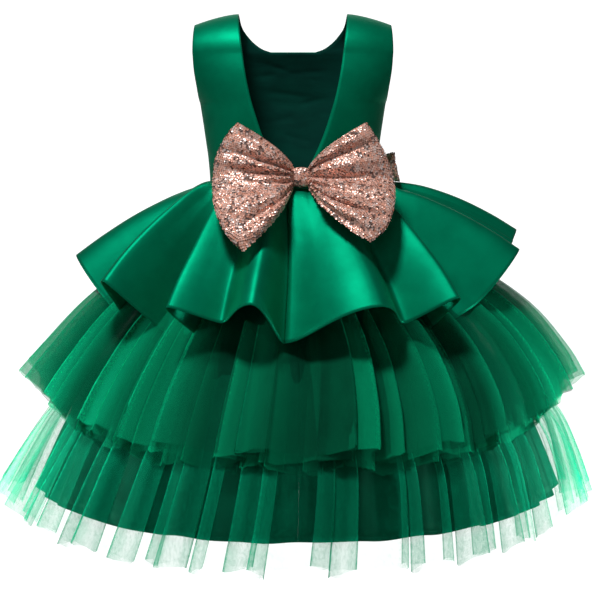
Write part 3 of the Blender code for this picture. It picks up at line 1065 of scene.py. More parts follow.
@dataclass
class Bodice:
    """The sleeveless bodice: two back panels, the front, and the lining seen through the V."""

    satin: Material
    lining: Material
    form: BodyForm = BodyForm()
    waist: float = -202.7
    satin_wall: float = 1.3 * MM
    lining_wall: float = 0.8 * MM
    body_rows: int = 64
    bend_rows: int = 26
    back_columns: int = 26
    strap_columns: int = 14
    chest_columns: int = 40
    back_v: tuple[Edge, ...] = (
        Edge(-202.7, 0.15),
        Edge(-185, 14.5),
        Edge(-163, 26.5),
        Edge(-142, 35.5),
        Edge(-120, 43),
        Edge(-98, 49.5),
        Edge(-72, 55),
        Edge(-45, 59),
        Edge(0, 64.5),
    )
    front_neck: tuple[Edge, ...] = (
        Edge(-45, 27),
        Edge(-42, 36),
        Edge(-36, 45),
        Edge(-28, 53),
        Edge(-16, 61),
        Edge(0, 64.5),
    )
    back_creases: tuple[Crease, ...] = (
        Crease(-86, -186, 12, 30, 3.0, 1.1),
        Crease(-74, -194, 20, 26, 2.6, 0.9),
        Crease(-95, -168, -20, 26, 3.6, 0.7),
        Crease(-92, -120, 62, 34, 5.0, 0.7),
        Crease(-60, -178, 35, 30, 4.0, 0.6),
        Crease(84, -190, -14, 32, 3.2, 1.0),
        Crease(94, -172, 18, 26, 3.2, 0.8),
        Crease(92, -124, -64, 32, 5.0, 0.7),
        Crease(58, -182, -38, 28, 4.0, 0.6),
    )
    front_creases: tuple[Crease, ...] = (
        Crease(-70, -190, 15, 34, 3.4, 1.0),
        Crease(-88, -150, -24, 28, 4.2, 0.7),
        Crease(-34, -196, 70, 22, 3.0, 0.7),
        Crease(8, -196, 84, 20, 3.0, 0.6),
        Crease(42, -194, -70, 24, 3.0, 0.8),
        Crease(74, -188, -16, 32, 3.4, 1.0),
        Crease(90, -140, 28, 26, 4.2, 0.7),
        Crease(-84, -96, 58, 30, 5.0, 0.8),
        Crease(86, -98, -56, 30, 5.0, 0.8),
    )
    lining_creases: tuple[Crease, ...] = (
        Crease(-24, -62, -18, 38, 2.6, -0.9),
        Crease(-34, -74, 10, 30, 2.4, -0.8),
        Crease(12, -70, 6, 44, 2.8, -0.7),
        Crease(-8, -96, -8, 56, 3.4, -0.8),
        Crease(26, -104, 14, 40, 3.2, -0.7),
        Crease(-20, -128, 12, 44, 3.4, -0.7),
        Crease(6, -150, -12, 34, 3.0, -0.7),
        Crease(34, -84, -30, 26, 2.6, -0.6),
    )

    def off_seams(self, grid: Grid, side: Side) -> Grid:
        """Turn a grid top first and hold it off the shoulder and side seams.

        Args:
            grid: the panel, waist first.
            side: back or front.

        Returns:
            The panel, top first.
        """
        held = grid[::-1].copy()
        held[..., 1] = side.value * np.maximum(side.value * held[..., 1], SEAM_GAP / 2)
        return held

    def back_grid(self, hand: int) -> Grid:
        """Return one back panel, from the V to the side seam and over the shoulder.

        Args:
            hand: -1 for the panel at -X and 1 for the one at +X.

        Returns:
            The points, top first.
        """
        lines = []
        for row, bend in self.form.body_levels(self.waist, self.body_rows, self.bend_rows):
            level = self.form.edge_height(bend) if bend > 0 else row.height
            inner_x = between(self.back_v, "height", level).half_width
            inner, outer = self.form.turns(row, Side.BACK, inner_x)
            turns = np.linspace(inner, outer, self.back_columns + 1)
            line = self.form.line(row, Side.BACK, turns, bend) * (hand, 1, 1)
            lines.append(line if hand > 0 else line[::-1])
        return self.off_seams(np.array(lines), Side.BACK)

    def front_grid(self) -> Grid:
        """Return the front panel across the chest and up both straps.

        Returns:
            The points, top first.
        """
        lines = []
        for row, bend in self.form.body_levels(self.waist, self.body_rows, self.bend_rows):
            level = self.form.edge_height(bend) if bend > 0 else self.form.shoulder_bend
            neck_x = between(self.front_neck, "height", level).half_width
            neck, outer = self.form.turns(row, Side.FRONT, neck_x)
            turns = np.concatenate([
                np.linspace(-outer, -neck, self.strap_columns + 1)[:-1],
                np.linspace(-neck, neck, self.chest_columns + 1)[:-1],
                np.linspace(neck, outer, self.strap_columns + 1),
            ])
            lines.append(self.form.line(row, Side.FRONT, -turns, bend))
        return self.off_seams(np.array(lines), Side.FRONT)

    def below_neckline(self) -> np.ndarray:
        """Return which cells of the front grid are cloth.

        Returns:
            True for each cell of cloth.
        """
        rows = self.body_rows + self.bend_rows - 1
        columns = 2 * self.strap_columns + self.chest_columns
        keep = np.ones((rows, columns), dtype=bool)
        chest = slice(self.strap_columns, self.strap_columns + self.chest_columns)
        keep[: self.bend_rows, chest] = False
        return keep

    def build_backs(self) -> None:
        """Make both back panels."""
        for side, hand in (("left", -1), ("right", 1)):
            grid = creased(self.back_grid(hand), self.back_creases)
            name = f"back_{side}_satin"
            piece = make_shell(name, grid, self.satin_wall, self.satin, self.lining)
            node = f"bodice_back_{side}"
            declare_cloth(piece, flat_cut(grid), [node])

    def front_cut(self, grid: Grid) -> Cut:
        """Return the cut of the front, whose straps are narrower than its body.

        Args:
            grid: the front's points.

        Returns:
            The cut without the neckline.
        """
        body = flat_cut(grid[self.bend_rows :])
        strap = flat_cut(grid[: self.bend_rows + 1, : self.strap_columns + 1])
        whole = flat_cut(grid)
        return Cut(whole.width, whole.length, round(body.area + 2 * strap.area, 5))

    def build_front(self) -> None:
        """Make the front panel and its lining."""
        grid = creased(self.front_grid(), self.front_creases)
        keep = self.below_neckline()
        cut = self.front_cut(grid)
        piece = make_shell("front_satin", grid, self.satin_wall, self.satin, self.satin, keep)
        declare_cloth(piece, cut, ["bodice_front"])
        inner = self.front_grid()
        inner = inner - grid_normals(inner) * (self.satin_wall + 2 * SEAM_GAP)
        inner = creased(inner, self.lining_creases)
        inner[..., 1] = np.maximum(inner[..., 1], SEAM_GAP / 2)
        piece = make_shell("front_lining", inner, self.lining_wall, self.lining, self.lining, keep)
        declare_cloth(piece, cut, ["bodice_front_lining"])

    def build(self) -> None:
        """Make the whole bodice."""
        self.build_backs()
        self.build_front()


# The layers of the skirt


class Section(NamedTuple):
    """A level of a skirt layer, by its share of the way to the hem, in millimetres."""

    along: float
    half_width: float
    side_z: float
    half_depth: float
    back_z: float
    lean: float
    squareness: float


@dataclass(frozen=True)
class SkirtForm:
    """A flared layer without its folds. Its hem rises from the back to the sides."""

    sections: tuple[Section, ...]
    side_rise: float
    step: float = 0.02

    def base(self, angles: np.ndarray, along: float) -> np.ndarray:
        """Return the points at some angles on one level.

        Args:
            angles: radians from the centre back.
            along: the level, from 0 at the top to 1 at the hem.

        Returns:
            The points in metres.
        """
        row = between(self.sections, "along", along)
        share = 2 / row.squareness
        sine = np.sin(angles)
        x = row.lean + row.half_width * signed_power(sine, share)
        y = -row.half_depth * signed_power(np.cos(angles), share)
        z = row.back_z + (row.side_z - row.back_z) * np.abs(sine) ** self.side_rise
        return np.stack([x, y, z], axis=1) * MM

    def outward(self, angles: np.ndarray, along: float) -> np.ndarray:
        """Return the directions that face away from the body.

        Args:
            angles: radians from the centre back.
            along: the level, from 0 at the top to 1 at the hem.

        Returns:
            Unit vectors.
        """
        sideways = self.base(angles + self.step, along) - self.base(angles - self.step, along)
        upward = self.base(angles, along - self.step) - self.base(angles, along + self.step)
        return unit(np.cross(sideways, upward))

    def sideways(self, angles: np.ndarray, along: float) -> np.ndarray:
        """Return the directions round the body, towards growing angles."""
        return unit(self.base(angles + self.step, along) - self.base(angles - self.step, along))

    def line(self, angles: np.ndarray, along: float, push: np.ndarray) -> np.ndarray:
        """Return points pushed off the form by some metres."""
        return self.base(angles, along) + self.outward(angles, along) * push[:, None]


FLOUNCE_FORM = SkirtForm(
    sections=(
        Section(0.00, 98.5, -203, 73.5, -203, 0, 2.3),
        Section(0.10, 116, -205, 88, -208, 1, 2.25),
        Section(0.20, 134, -210, 101, -221, 2, 2.2),
        Section(0.35, 160, -220, 118, -243, 4, 2.1),
        Section(0.55, 196, -238, 139, -273, 5, 2),
        Section(0.78, 234, -262, 162, -308, 5, 2),
        Section(1.00, 265, -285, 183, -341, 4, 2),
    ),
    side_rise=8,
)
UPPER_FORM = SkirtForm(
    sections=(
        Section(0.00, 97.8, -204.9, 72.8, -204.9, 0, 2.3),
        Section(0.08, 112, -222, 79, -234, 1, 2.2),
        Section(0.20, 141, -253, 86, -271, 4, 2.1),
        Section(0.38, 192, -296, 104, -326, 12, 2),
        Section(0.60, 257, -350, 150, -386, 18, 2),
        Section(0.82, 299, -403, 205, -443, 17, 2),
        Section(1.00, 318, -434, 246, -489, 13, 2),
    ),
    side_rise=4,
)
UNDERSKIRT_FORM = SkirtForm(
    sections=(
        Section(0.00, 96.6, -206.4, 71.8, -206.4, 0, 2.3),
        Section(0.10, 110, -232, 80, -240, 1, 2.2),
        Section(0.28, 142, -285, 99, -300, 3, 2.1),
        Section(0.50, 186, -352, 131, -370, 6, 2),
        Section(0.68, 228, -412, 166, -425, 8, 2),
        Section(0.84, 272, -480, 205, -495, 8, 2),
        Section(1.00, 309, -566, 238, -590, 6, 2),
    ),
    side_rise=3,
)
LOWER_FORM = SkirtForm(
    sections=(
        Section(0.00, 221, -399, 161, -413, 8, 2),
        Section(0.06, 236, -408, 172, -425, 9, 2),
        Section(0.20, 266, -430, 200, -460, 10, 2),
        Section(0.45, 303, -475, 238, -510, 12, 2),
        Section(0.75, 328, -525, 272, -566, 7, 2),
        Section(1.00, 346, -569, 296, -613, 1, 2),
    ),
    side_rise=4,
)


class Fold(NamedTuple):
    """A ridge or valley: degrees at waist and hem, millimetres out, down and sideways."""

    root: float
    angle: float
    reach: float
    drop: float
    lean: float = 0.0


class Dart(NamedTuple):
    """A narrow trough: degrees at its ends, their levels, its width and its millimetres."""

    root: float
    angle: float
    start: float
    end: float
    width_deg: float
    depth: float


def fold_columns(
    folds: Sequence[Fold], steps: int, breadth: float = 0.0, flatness: float = 0.0
) -> np.ndarray:
    """Return root, angle, reach, drop and lean for each column between the folds.

    Args:
        folds: the ridges and valleys in order.
        steps: how many columns lie between two of them.
        breadth: how much broader ridges are than valleys.
        flatness: how far the slopes go from a wave, 0, to flat faces, 1.

    Returns:
        A row of the five values for each column; angles are in radians.
    """
    columns = []
    for first, second in zip(folds, folds[1:]):
        rising = second.reach > first.reach
        for k in range(steps):
            part = k / steps
            bend = part + breadth * math.sin(math.pi * part) / math.pi * (-1 if rising else 1)
            ease = (1 - math.cos(math.pi * part)) / 2 * (1 - flatness) + part * flatness
            place = min(max(bend, 0.0), 1.0)
            columns.append((
                math.radians(first.root + (second.root - first.root) * place),
                math.radians(first.angle + (second.angle - first.angle) * place),
                (first.reach + (second.reach - first.reach) * ease) * MM,
                (first.drop + (second.drop - first.drop) * ease) * MM,
                (first.lean + (second.lean - first.lean) * ease) * MM,
            ))
    last = folds[-1]
    sizes = (last.reach * MM, last.drop * MM, last.lean * MM)
    columns.append((math.radians(last.root), math.radians(last.angle), *sizes))
    return np.array(columns)


@dataclass(frozen=True)
class Drape:
    """How a gathered panel falls, as powers of the way down and shares of a fold.

    growth is how late its folds open, with centre_growth more of it near the centre back and
    valley_growth more in the valleys. spread is how late they turn from their waist angle to
    their hem angle. breadth and flatness are the shape of a fold.
    """

    growth: float
    spread: float = 0.6
    start: float = 0.0
    breadth: float = 0.0
    flatness: float = 0.0
    centre_growth: float = 0.0
    centre_deg: tuple[float, float] = (18.0, 40.0)
    valley_growth: float = 0.0

    def grid(
        self,
        form: SkirtForm,
        columns: np.ndarray,
        rows: np.ndarray,
        darts: Sequence[Dart] = (),
    ) -> Grid:
        """Return a panel's points, waist first.

        Args:
            form: the layer.
            columns: what fold_columns gives.
            rows: the levels, from 0 to 1.
            darts: narrow troughs.

        Returns:
            The points.
        """
        away = np.abs(np.degrees(columns[:, 1]))
        fully, out = self.centre_deg
        near = np.clip((out - away) / (out - fully), 0, 1)
        growth = self.growth + self.centre_growth * near
        growth = growth + np.where(columns[:, 2] < 0, self.valley_growth, 0.0)
        lines = []
        for along in rows:
            size = (max(along - self.start, 0.0) / (1 - self.start)) ** growth
            open_share = along ** self.spread
            angles = columns[:, 0] + (columns[:, 1] - columns[:, 0]) * open_share
            push = columns[:, 2] * size
            for dart in darts:
                push = push - dart_depth(dart, angles, along)
            line = form.line(angles, along, push)
            line += form.sideways(angles, along) * (columns[:, 4] * size)[:, None]
            line[:, 2] -= columns[:, 3] * size * size
            lines.append(line)
        return np.array(lines)


DART_OPENING = 9.0
DART_AT_WAIST = 0.2


def dart_depth(dart: Dart, angles: np.ndarray, along: float) -> np.ndarray:
    """Return how deep a dart is at some angles on one level, in metres.

    Args:
        dart: the trough.
        angles: radians from the centre back.
        along: the level, from 0 at the top to 1 at the hem.

    Returns:
        The depths, under 0 for a ridge.
    """
    if not dart.start <= along <= dart.end:
        return np.zeros_like(angles)
    part = (along - dart.start) / (dart.end - dart.start)
    centre = math.radians(dart.root + (dart.angle - dart.root) * part)
    away = (angles - centre) / math.radians(dart.width_deg)
    at_start = DART_AT_WAIST if dart.start == 0 else 0.0
    fade = (1 - part * part) ** 2 * min(1.0, DART_OPENING * part + at_start)
    return dart.depth * MM * fade * np.exp(-away * away)


def ease_seams(grid: Grid) -> Grid:
    """Draw a panel's side edges in by half a seam gap.

    Args:
        grid: the panel.

    Returns:
        The narrower panel.
    """
    eased = grid.copy()
    eased[:, 0] += unit(grid[:, 1] - grid[:, 0]) * SEAM_GAP / 2
    eased[:, -1] += unit(grid[:, -2] - grid[:, -1]) * SEAM_GAP / 2
    return eased


def above_edge(grid: Grid, distance: float, lift: float) -> np.ndarray:
    """Return the line that runs some way above a panel's lower edge.

    Args:
        grid: the panel, lower edge last.
        distance: metres up from the edge.
        lift: metres off the cloth.
    """
    up = unit(grid[-3] - grid[-1])
    return grid[-1] + up * distance + grid_normals(grid)[-1] * lift


@dataclass(frozen=True)
class StitchLine:
    """Machine stitches in a row, each a slim spindle of thread."""

    thread: Material
    pitch: float = 3.0 * MM
    length: float = 2.3 * MM
    radius: float = 0.26 * MM
    sides: int = 6

    def build(self, name: str, paths: Sequence[np.ndarray]) -> Piece:
        """Sew along some lines.

        Args:
            name: the piece's name.
            paths: the lines' points.

        Returns:
            The piece.
        """
        points = []
        faces = []
        turns = np.arange(self.sides) * TURN / self.sides
        for path in paths:
            run = np.concatenate([[0], np.cumsum(np.linalg.norm(np.diff(path, axis=0), axis=1))])
            for middle in np.arange(self.pitch, run[-1] - self.pitch, self.pitch):
                ends = np.array([
                    [np.interp(middle + half, run, path[:, axis]) for axis in range(3)]
                    for half in (-self.length / 2, 0, self.length / 2)
                ])
                ahead = unit(ends[2] - ends[0])
                side = unit(np.cross(ahead, (0.0, 0.0, 1.0)))
                upward = np.cross(side, ahead)
                ring = ends[1] + self.radius * (
                    np.cos(turns)[:, None] * side + np.sin(turns)[:, None] * upward
                )
                first = len(points)
                points += [ends[0], ends[2], *ring]
                for k in range(self.sides):
                    here = first + 2 + k
                    there = first + 2 + (k + 1) % self.sides
                    faces += [(first, here, there), (first + 1, there, here)]
        piece = make_object(name, np.array(points), np.array(faces), [self.thread], {})
        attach(piece, "root")
        return piece


SAME_ANGLE = 0.01


class Panel(NamedTuple):
    """A panel of a round layer, between two of its folds."""

    name: str
    start: float
    end: float


@dataclass
class HemmedLayer:
    """A round satin layer in panels, each with a stitched hem."""

    satin: Material
    thread: Material
    wall: float = 1.1 * MM
    hem_width: float = 2.6 * MM
    stitch_lift: float = 0.1 * MM

    def hang(self, panel: Panel, grid: Grid, name: str, stitches_name: str, node: str) -> None:
        """Make a panel with its hem stitches.

        Args:
            panel: the panel; not used.
            grid: its outer face.
            name: the piece's name.
            stitches_name: the name of its hem stitches.
            node: the solid that it stands for.
        """
        piece = make_shell(name, grid, self.wall, self.satin, self.satin)
        path = above_edge(grid, self.hem_width, self.stitch_lift)
        stitches = StitchLine(self.thread).build(stitches_name, [path])
        declare_cloth(piece, flat_cut(grid), [node])


@dataclass
class Flounce(HemmedLayer):
    """The satin flounce at the waist, in three panels."""

    rows: int = 46
    steps: int = 12
    drape: Drape = Drape(
        growth=0.45, spread=0.42, breadth=0.2, flatness=0.08, centre_growth=0.3, valley_growth=0.2
    )
    panels: tuple[Panel, ...] = (
        Panel("back_left", -104, -3),
        Panel("back_right", -3, 92),
        Panel("front", 92, 256),
    )
    folds: tuple[Fold, ...] = (
        Fold(-106, -104, -18, 0),
        Fold(-99, -89, -2, 0, -2),
        Fold(-78, -64, -58, -4, 14),
        Fold(-66, -48, 22, -12, -20),
        Fold(-60, -42, -58, -4, 4),
        Fold(-50, -33, -70, -4, 10),
        Fold(-42, -26, 20, 3, -26),
        Fold(-29, -20, -16, 2, 2),
        Fold(-14, -10.5, 20, -3),
        Fold(-3, -3, -26, 20),
        Fold(15, 19, 20, 0, 6),
        Fold(29, 30, -20, 2, -2),
        Fold(44, 36.5, 24, -2, 22),
        Fold(52, 45, -70, -6, -10),
        Fold(56, 57, -34, -6, -6),
        Fold(62, 73, 10, -12, 12),
        Fold(78, 84, -28, -16),
        Fold(90, 92, -8, -22),
        Fold(97, 100, 8, -27),
        Fold(114, 115, -20, -6),
        Fold(131, 131, 22, 0),
        Fold(145, 145, -22, 0),
        Fold(159, 159, 22, 0),
        Fold(173, 173, -22, 8),
        Fold(187, 187, 22, 0),
        Fold(201, 201, -22, 0),
        Fold(215, 215, 22, 0),
        Fold(229, 229, -22, 0),
        Fold(242, 243, 18, 0),
        Fold(254, 256, -18, 0),
    )
    darts: tuple[Dart, ...] = (
        Dart(-93, -88, 0, 0.30, 1.8, 3.0),
        Dart(-84, -76, 0, 0.34, 1.7, 3.6),
        Dart(-72, -60, 0, 0.26, 1.8, 3.0),
        Dart(-58, -44, 0, 0.24, 2.0, 2.6),
        Dart(-40, -30, 0, 0.20, 2.2, 2.2),
        Dart(-24, -18, 0, 0.22, 2.2, 2.4),
        Dart(-10, -8, 0, 0.42, 1.9, 3.0),
        Dart(7, 8, 0, 0.46, 1.8, 3.2),
        Dart(22, 20, 0, 0.24, 2.2, 2.4),
        Dart(43, 38, 0, 0.22, 2.2, 2.4),
        Dart(60, 52, 0, 0.26, 2.0, 2.8),
        Dart(74, 66, 0, 0.30, 1.8, 3.4),
        Dart(86, 80, 0, 0.34, 1.6, 3.4),
        Dart(99, 100, 0, 0.28, 1.8, 3.0),
        Dart(112, 113, 0, 0.24, 2.0, 2.6),
        Dart(125, 124, 0, 0.22, 2.0, 2.4),
        Dart(138, 137, 0, 0.26, 2.2, 2.6),
        Dart(152, 153, 0, 0.22, 2.0, 2.4),
        Dart(166, 165, 0, 0.24, 2.2, 2.6),
        Dart(180, 181, 0, 0.22, 2.0, 2.4),
        Dart(194, 193, 0, 0.26, 2.2, 2.6),
        Dart(208, 209, 0, 0.22, 2.0, 2.4),
        Dart(222, 221, 0, 0.24, 2.0, 2.6),
        Dart(236, 238, 0, 0.26, 1.8, 3.0),
        Dart(248, 252, 0, 0.30, 1.8, 3.2),
    )
    seam_puckers: tuple[Dart, ...] = (
        Dart(-57, -45, 0.03, 0.85, 3.5, 9.0),
        Dart(54, 50, 0.03, 0.62, 5.0, 14.0),
        Dart(-3, -3, 0.02, 0.99, 0.55, 1.3),
        Dart(1.5, 2.6, 0.36, 0.50, 0.8, 0.7),
        Dart(2.0, 2.4, 0.46, 0.62, 0.7, 0.6),
    )

    def panel_grid(self, panel: Panel) -> Grid:
        """Return the points of one panel.

        Args:
            panel: which one.

        Returns:
            The points, waist first.
        """
        folds = [fold for fold in self.folds if panel.start <= fold.angle <= panel.end]
        columns = fold_columns(folds, self.steps, self.drape.breadth, self.drape.flatness)
        rows = np.linspace(0, 1, self.rows)
        darts = self.darts + self.seam_puckers
        return ease_seams(self.drape.grid(FLOUNCE_FORM, columns, rows, darts))

    def build(self) -> None:
        """Make the three panels and their hem stitches."""
        for panel in self.panels:
            name = panel.name
            stitches_name = f"flounce_hem_stitches_{name}"
            grid = self.panel_grid(panel)
            self.hang(panel, grid, f"flounce_{name}", stitches_name, f"peplum_{name}")


@dataclass
class Underskirt(HemmedLayer):
    """The satin underskirt in four panels, with a narrow turned hem."""

    hem_width: float = 4.0 * MM
    rows: int = 42
    steps: int = 8
    waves: int = 30
    reach: float = 6.5
    swing: float = 0.3
    hem_drop: float = 1.0
    seed: int = 11
    drape: Drape = Drape(growth=0.9, spread=1.0, start=0.16)
    panels: tuple[Panel, ...] = (
        Panel("back_left", -90, 0),
        Panel("back_right", 0, 90),
        Panel("front_right", 90, 180),
        Panel("front_left", 180, 270),
    )

    def build(self) -> None:
        """Make the four panels, from shallow uneven waves once round, and their hem stitches."""
        seams = [panel.start - RING_START for panel in self.panels[1:]]
        folds = ring_folds(self.waves, self.reach, self.swing, self.hem_drop, self.seed, seams)
        for panel in self.panels:
            name = panel.name
            own = [
                fold for fold in folds
                if panel.start - SAME_ANGLE <= fold.angle <= panel.end + SAME_ANGLE
            ]
            columns = fold_columns(own, self.steps)
            grid = self.drape.grid(UNDERSKIRT_FORM, columns, np.linspace(0, 1, self.rows))
            stitches_name = f"underskirt_hem_stitches_{name}"
            node = f"underskirt_{name}"
            self.hang(panel, ease_seams(grid), f"{node}_satin", stitches_name, node)


def ring_folds(
    waves: int, reach: float, swing: float, drop: float, seed: int, seams: Sequence[float]
) -> list[Fold]:
    """Return uneven folds once round the body, from -90 to 270 degrees.

    Args:
        waves: how many ridges there are.
        reach: how far a ridge stands out, in millimetres.
        swing: how much widths and reaches vary, as a share.
        drop: how much the hem's height varies, in millimetres.
        seed: the seed of the draws.
        seams: angles from the start at which a fold's middle is set, in degrees.

    Returns:
        An odd number of folds, whose first and last are the same fold.
    """
    draw = np.random.default_rng(seed)
    widths = 1 + swing * draw.uniform(-1, 1, 2 * waves)
    places = np.concatenate([[0], np.cumsum(widths)]) * 360 / widths.sum()
    for seam in seams:
        places[int(np.argmin(np.abs(places - seam)))] = seam
    reaches = reach * (1 + swing * draw.uniform(-1, 1, 2 * waves + 1))
    reaches[0::2] *= -1
    reaches[-1] = reaches[0]
    drops = drop * draw.uniform(-1, 1, 2 * waves + 1)
    drops[-1] = drops[0]
    return [
        Fold(place + RING_START, place + RING_START, float(out), float(low))
        for place, out, low in zip(places, reaches, drops)
    ]


class Pleat(NamedTuple):
    """A flat fold of net, by its free edge's angle, what it laps back and how it falls."""

    angle: float
    lap: float
    lean: float
    stand: float
    drop: float
    tone: float
    belly: float


LAP_RANGE = (0.25, 1.75)
WIDEST_LAP = 0.72
STAND_RANGE = (0.5, 1.4)


def pleat_ring(
    count: int, lap: float, stand: float, drop: float, swing: float, seed: int
) -> list[Pleat]:
    """Return uneven flat folds once round the body; their free edges face away from the back.

    Args:
        count: how many folds there are.
        lap: the mean overlap, in degrees.
        stand: how far a fold's edge stands off, in millimetres.
        drop: how ragged the hem is, in millimetres.
        swing: how much the widths vary, as a share.
        seed: the seed of the draws.

    Returns:
        The folds in order.
    """
    draw = np.random.default_rng(seed)
    widths = 1 + swing * draw.uniform(-1, 1, count)
    places = (np.cumsum(widths) - widths[0] / 2) * 360 / widths.sum() + RING_START
    pleats = []
    for i, place in enumerate(places):
        room = widths[i] * 360 / widths.sum()
        own_lap = min(lap * draw.uniform(*LAP_RANGE), WIDEST_LAP * room)
        lean = math.copysign(1.0, math.sin(math.radians(place)))
        pleats.append(Pleat(
            float(place),
            float(own_lap),
            lean,
            float(stand * draw.uniform(*STAND_RANGE)),
            float(drop * draw.uniform(-1, 1)),
            float(draw.uniform(0, 1)),
            float(draw.uniform(-1, 1)),
        ))
    return pleats


class Knot(NamedTuple):
    """A turning point of a pleated ring: a fold's free edge, or the edge that its lap hides."""

    angle: float
    out: float
    drop: float
    pleat: Pleat
    on_lap: bool


class NetPath(NamedTuple):
    """The columns of a pleated ring of net."""

    angles: np.ndarray
    offsets: np.ndarray
    drops: np.ndarray
    creases: np.ndarray
    # each column's painted shade
    tones: np.ndarray


@dataclass
class TulleTier:
    """A tier of net, gathered in flat folds, as several rings that hang over each other."""

    name: str
    net: Material
    form: SkirtForm
    nodes: tuple[str, ...]
    carrier: str
    counts: tuple[int, ...]
    lap: float
    stand: float
    seed: int
    lifts: tuple[float, ...]
    extra_drops: tuple[float, ...]
    ragged: float = 4.0
    jitter: float = 1.2
    belly: float = 2.0
    growth: float = 0.85
    rows: int = 26
    swing: float = 0.55
    flare: float = 0.0
    waves: int = 22
    wave_reach: float = 7.0
    # Painted shade: how dark the laps are painted.
    lap_painted_shade: float = 0.7
    lap_density: float = 0.2
    near_edge: float = 0.09
    near_crease: float = 0.3
    # Painted shade: how each fold's net is painted darker away from its free edge, and how much
    # that differs at random from fold to fold.
    painted_shade_curve: float = 0.6
    painted_shade_swing: float = 0.8
    side_power: int = 12
    wave_swing: float = 0.35
    wave_seed: int = 3
    layer_seed: int = 7
    panel_steps: tuple[float, ...] = (0, 0.03, 0.08, 0.17, 0.3, 0.45, 0.6, 0.75, 0.87, 0.94, 0.98)
    lap_steps: tuple[float, ...] = (0, 0.08, 0.5, 0.92)

    def column(self, start: Knot, end: Knot, step: float) -> tuple[float, ...]:
        """Return angle, offset, drop, crease and tone, the painted shade, at a share of the way
        between two knots.

        Args:
            start: the first knot.
            end: the next knot.
            step: the share of the way.

        Returns:
            The five values, in degrees and millimetres.
        """
        pleat = start.pleat
        bulge = 0.0
        # Painted shade: laps get their own painted shade; on a fold the net is painted darker away
        # from its free edge.
        tone = self.lap_painted_shade
        crease = self.lap_density
        if not start.on_lap:
            bulge = pleat.belly * self.belly * math.sin(math.pi * step)
            from_edge = step if pleat.lean < 0 else 1 - step
            tone = from_edge ** self.painted_shade_curve + self.painted_shade_swing * (pleat.tone - 0.5)
            crease = 0.0
        if step == 0:
            crease = 1.0
        elif min(step, 1 - step) < self.near_edge:
            crease = self.near_crease
        return (
            start.angle + (end.angle - start.angle) * step,
            start.out + (end.out - start.out) * step + bulge,
            start.drop + (end.drop - start.drop) * step,
            crease,
            min(max(tone, 0.0), 1.0),
        )

    def path(self, pleats: Sequence[Pleat], seed: int, layer: int) -> NetPath:
        """Return the ring's columns: along a panel, back under the lap and on.

        Args:
            pleats: the flat folds in order.
            seed: the seed of the cut edge's unevenness.
            layer: 0 for the outermost ring; each further one flares less at the sides.

        Returns:
            The columns.
        """
        knots = []
        for pleat in pleats:
            out = pleat.stand * pleat.lean / 2
            knots.append(Knot(pleat.angle + pleat.lap, out, pleat.drop, pleat, True))
            knots.append(Knot(pleat.angle, -out, -pleat.drop, pleat, False))
        knots.append(knots[0]._replace(angle=knots[0].angle + 360))
        columns = [
            self.column(start, end, step)
            for start, end in zip(knots, knots[1:])
            for step in (self.lap_steps if start.on_lap else self.panel_steps)
        ]
        last = knots[-1]
        columns.append((last.angle, last.out, last.drop, 1.0, self.lap_painted_shade))
        angles, offsets, drops, creases, tones = np.array(columns).T
        uneven = np.random.default_rng(seed).normal(0, self.jitter, len(columns))
        side = np.abs(np.sin(np.radians(angles))) ** self.side_power
        wave = ring_folds(
            self.waves, self.wave_reach, self.wave_swing, 0.0, seed + self.wave_seed, ()
        )
        swell = np.interp(
            angles, [fold.angle for fold in wave], [fold.reach for fold in wave], period=360
        )
        return NetPath(
            np.radians(angles),
            (offsets * (1 + side) + self.flare * (1 - layer) * side + swell) * MM,
            (drops + uneven) * MM,
            creases,
            tones,
        )

    def ring(self, path: NetPath, lift: float, extra_drop: float) -> Grid:
        """Return a ring's points, top first.

        Args:
            path: its columns.
            lift: millimetres off the form.
            extra_drop: how much longer than the form it is, in millimetres.

        Returns:
            The points.
        """
        lines = []
        for along in np.linspace(0, 1, self.rows):
            push = path.offsets * along ** self.growth + lift * MM * along
            line = self.form.line(path.angles, along, push)
            line[:, 2] -= path.drops * along ** 4 + extra_drop * MM * along
            lines.append(line)
        return np.array(lines)

    def build(self) -> None:
        """Make the rings, the outermost first."""
        for layer, count in enumerate(self.counts):
            seed = self.seed + self.layer_seed * layer
            pleats = pleat_ring(count, self.lap, self.stand, self.ragged, self.swing, seed)
            path = self.path(pleats, seed + 1, layer)
            grid = self.ring(path, self.lifts[layer], self.extra_drops[layer])
            folds = np.broadcast_to(
                np.stack([path.creases, path.tones], axis=1)[None], (*grid.shape[:2], 2)
            )
            piece = make_sheet(f"{self.name}_layer_{layer + 1}", grid, self.net, folds)
            nodes = self.nodes if layer == 0 else ()
            declare_cloth(piece, flat_cut(grid), nodes)


# The bows


class LoopEdge(NamedTuple):
    """A point of a loop's outer fold, by its place from bottom to top, in millimetres."""

    place: float
    reach: float
    height: float


class Lean(NamedTuple):
    """How far a bow stands off its knot's plane at a height, in millimetres."""

    height: float
    stand_off: float


LEAN_STEPS = 160


